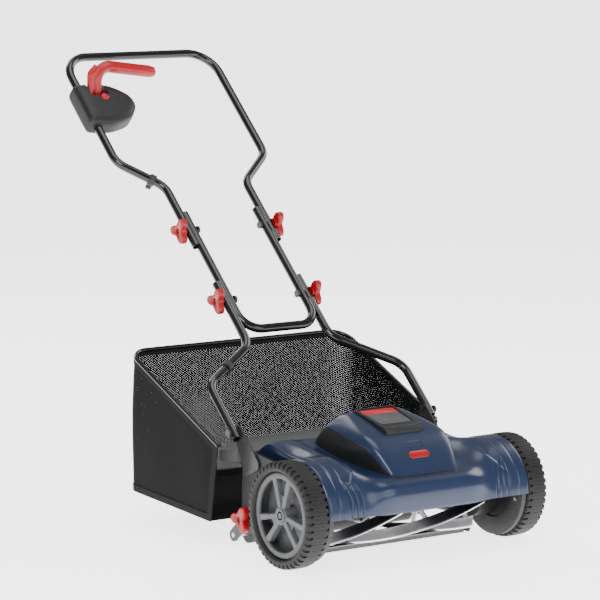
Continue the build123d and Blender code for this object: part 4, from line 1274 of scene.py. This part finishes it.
# ---- grass bag
bag = {
    "half": 283.2, "rimFront": (240.0, 207.0), "rimRear": (578.5, 362.0), "back": 580.6,
    "floorFront": (268.0, 51.0),
    "floorRear": 70.0, "corner": 40.0, "cloth": 0.5, "bulge": 7.0, "holeAcross": 3.6, "holeDown": 5.0,
    "hole": 0.52,
    "hem": 15.0, "sag": 6.0,
}


def bagPath(front, back, half, corner, steps=14):
    # U-shaped path in plan: left front, left rear, right rear, right front
    points = [(-half, front), (-half, back - corner)]
    points += [(-half + corner - corner * math.cos(a), back - corner + corner * math.sin(a))
               for a in np.linspace(0, math.pi / 2, steps)[1:]]
    return points + [(-x, y) for x, y in reversed(points)]


def bagWall(columns=170, rows=44):
    rimFront, rimRear = bag["rimFront"], bag["rimRear"]
    slope = (rimRear[1] - rimFront[1]) / (rimRear[0] - rimFront[0])
    rimTurn = spaced(bagPath(rimFront[0], bag["back"], bag["half"], bag["corner"]), columns)
    lowTurn = spaced(bagPath(bag["floorFront"][0], bag["back"] + 1.0, bag["half"] - 1.5,
                             bag["corner"] * 0.7), columns)
    floorSlope = (bag["floorRear"] - bag["floorFront"][1]) / (bag["back"] - bag["floorFront"][0])
    top = np.column_stack([rimTurn, rimFront[1] + slope * (rimTurn[:, 1] - rimFront[0])])
    low = np.column_stack([lowTurn, bag["floorFront"][1] + floorSlope
                           * (lowTurn[:, 1] - bag["floorFront"][0])])
    grid = np.zeros((rows, columns, 3))
    outwards = np.zeros((columns, 3))
    outwards[:, 0] = np.gradient(rimTurn[:, 1])
    outwards[:, 1] = -np.gradient(rimTurn[:, 0])
    outwards /= np.linalg.norm(outwards, axis=1)[:, None]
    outwards *= -1 if outwards[0, 0] > 0 else 1
    where = np.linspace(0, 1, columns)
    for row in range(rows):
        t = row / (rows - 1)
        line = top * (1 - t) + low * t
        belly = bag["bulge"] * math.sin(math.pi * t) ** 0.8
        fold = (0.9 * np.sin(31 * where + 3 * t) + 0.7 * np.sin(57 * where - 5 * t
                                                                + 1.3)) * math.sin(math.pi * t)
        quiet = smoothStep(0, 0.03, where) * smoothStep(1, 0.97, where)
        grid[row] = line + outwards * ((belly * 0.55 + fold) * quiet - 0.4)[:, None]
        grid[row, :, 2] -= 2.0 * np.sin(math.pi * t) * np.abs(np.sin(7 * where + 0.4)) * quiet
    return grid, top, low


def clothUv(piece, width, length, columns, rows):
    layer = piece.data.uv_layers.new(name="cloth")
    for loop in piece.data.loops:
        row, column = divmod(loop.vertex_index % (rows * columns), columns)
        layer.data[loop.index].uv = (column / (columns - 1) * width / 1000, row / (rows - 1) * length / 1000)


def bagCloth():
    # perforated, see-through cloth: rows of small round holes set half a step apart
    material = skin("bagCloth", (0.006, 0.006, 0.0065), rough=0.82, bump=0.5, grain=2400, dust=0.05,
                    wear=0.0, specular=0.1)
    tree = material.node_tree
    shader = tree.nodes["Principled BSDF"]
    place = tree.nodes.new("ShaderNodeUVMap")
    place.uv_map = "cloth"
    split = tree.nodes.new("ShaderNodeSeparateXYZ")
    tree.links.new(place.outputs[0], split.inputs[0])
    across = mathNode(tree, "DIVIDE", split.outputs[0], bag["holeAcross"] / 1000)
    column = mathNode(tree, "FLOOR", across)
    shift = mathNode(tree, "MULTIPLY", mathNode(tree, "MODULO", column, 2.0), 0.5)
    down = mathNode(tree, "ADD", mathNode(tree, "DIVIDE", split.outputs[1], bag["holeDown"] / 1000), shift)
    fromX = mathNode(tree, "MULTIPLY", mathNode(tree, "SUBTRACT", mathNode(tree, "FRACT", across), 0.5),
                     bag["holeAcross"])
    fromY = mathNode(tree, "MULTIPLY", mathNode(tree, "SUBTRACT", mathNode(tree, "FRACT", down), 0.5),
                     bag["holeDown"])
    far = radiusAt(tree, fromX, fromY)
    solid = mathNode(tree, "GREATER_THAN", far, bag["hole"])
    tree.links.new(solid, shader.inputs["Alpha"])
    return material


def bagWeave():
    material = skin("bagWeave", (0.008, 0.008, 0.0085), rough=0.85, bump=0.4, grain=2000, dust=0.05,
                    wear=0.0, specular=0.1)
    tree = material.node_tree
    shader = tree.nodes["Principled BSDF"]
    where = objectPlace(tree)
    waves = tree.nodes.new("ShaderNodeTexWave")
    waves.bands_direction = "DIAGONAL"
    waves.inputs["Scale"].default_value = 180.0
    waves.inputs["Distortion"].default_value = 0.6
    tree.links.new(where, waves.inputs["Vector"])
    before = shader.inputs["Base Color"].links[0].from_socket
    tree.links.new(mixColour(tree, mathNode(tree, "MULTIPLY", waves.outputs["Fac"], 0.45), before,
                             (0.03, 0.03, 0.031, 1)), shader.inputs["Base Color"])
    bumped(tree, shader, waves.outputs["Fac"], 0.5, 0.0006)
    return material


def clothSheet(name, grid, material, width, length):
    rows, columns = grid.shape[:2]
    piece = meshFrom(name, grid.reshape(-1, 3), gridFaces(rows, columns))
    clothUv(piece, width, length, columns, rows)
    piece.data.materials.append(material)
    return shell(piece, bag["cloth"])


def edgeLength(points):
    return float(np.linalg.norm(np.diff(points, axis=0), axis=1).sum())


def ruledArea(first, second):
    # flat area, in square metres, of a piece cut straight between two edges in millimetres
    a, b = np.asarray(first), np.asarray(second)
    lower = np.cross(a[1:] - a[:-1], b[:-1] - a[:-1])
    upper = np.cross(b[1:] - a[1:], b[:-1] - a[1:])
    return float(np.linalg.norm(lower, axis=1).sum() + np.linalg.norm(upper, axis=1).sum()) / 2e6


def buildBag():
    grid, top, low = bagWall()
    mesh = bagCloth()
    weave = bagWeave()
    around0 = edgeLength(low)
    rearHeight = edgeLength(grid[:, grid.shape[1] // 2])
    wall = clothSheet("bagWall", grid, mesh, around0, rearHeight)
    floorColumns, floorRows = 60, 40
    floor = np.zeros((floorRows, floorColumns, 3))
    frontY, backY = bag["floorFront"][0], bag["back"] - 1.0
    for row in range(floorRows):
        t = row / (floorRows - 1)
        y = frontY + (backY - frontY) * t
        half = bag["half"] - 2.5
        rear = y - (bag["back"] + 1.0 - bag["corner"] * 0.7)
        if rear > 0:
            reach = bag["corner"] * 0.7
            half -= reach - math.sqrt(max(reach ** 2 - min(rear, reach) ** 2, 0)) if rear < reach else reach
        xs = np.linspace(-half, half, floorColumns)
        z = bag["floorFront"][1] + (bag["floorRear"] - bag["floorFront"][1]) * t + 0.4
        sag = bag["sag"] * np.sin(math.pi * t) * np.cos(math.pi * xs / (2 * half))
        floor[row] = np.column_stack([xs, np.full(floorColumns, y), z - sag])
    floorSheet = clothSheet("bagFloor", floor, weave, 2 * bag["half"], backY - frontY)
    hems = buildHems(grid, weave)
    for piece in [wall, floorSheet, *hems]:
        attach(piece, "grass_catcher")
    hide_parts("grass_bag")
    # each cut before it is hung, without the bulge, the folds and the sag
    rearCut = float(np.linalg.norm(top[len(top) // 2] - low[len(low) // 2]))
    wallCut = (max(edgeLength(top), edgeLength(low)) / 1000, rearCut / 1000)
    wallArea = ruledArea(top, low)
    floorCut = (float(np.ptp(floor[:, :, 0])) / 1000, edgeLength(floor[:, 0]) / 1000)
    floorArea = ruledArea(floor[:, 0], floor[:, -1])
    for label, cutSize, area in (("wall", wallCut, wallArea), ("floor", floorCut, floorArea)):
        print(f"{label} cut {cutSize[0]:.4f} x {cutSize[1]:.4f} m, {area:.5f} m2 flat")


def hemAlong(name, line, width, thick, material):
    # a folded strip laid over an edge: line holds (point, inward, out) triples
    section = [(0.0, -1), (0.0, 1), (0.5, 1.08), (1.0, 1), (1.0, -1), (0.5, -1.08)]
    rows = []
    for point, inward, out in line:
        for a, b in section:
            rows.append(point + inward * width * (a - 0.08) + out * thick * b)
    faces = gridFaces(len(line), len(section), closeColumns=True)
    faces += [tuple(range(6)), tuple(range(len(rows) - 6, len(rows)))]
    piece = outward(meshFrom(name, rows, faces))
    piece.data.materials.append(material)
    return creased(piece, 50)


def buildHems(grid, weave):
    rows, columns = grid.shape[:2]
    normals = np.cross(np.gradient(grid, axis=1), np.gradient(grid, axis=0))
    normals /= np.linalg.norm(normals, axis=2)[:, :, None]
    down = np.gradient(grid, axis=0)
    down /= np.linalg.norm(down, axis=2)[:, :, None]
    along = np.gradient(grid, axis=1)
    along /= np.linalg.norm(along, axis=2)[:, :, None]
    thick = 1.3
    hems = [
        hemAlong("bagTopHem", [(grid[0, c], down[0, c], normals[0, c]) for c in range(columns)], 12, thick,
                 weave),
        hemAlong("bagBottomHem", [(grid[-1, c], -down[-1, c], normals[-1, c]) for c in range(columns)],
                 bag["hem"], thick, weave),
        hemAlong("bagFrontHemLeft", [(grid[r, 0], along[r, 0], normals[r, 0]) for r in range(rows)], 14,
                 thick, weave),
        hemAlong("bagFrontHemRight", [(grid[r, -1], -along[r, -1], normals[r, -1]) for r in range(rows)],
                 14, thick,
                 weave),
    ]
    return hems


buildBag()
print("grass bag made")
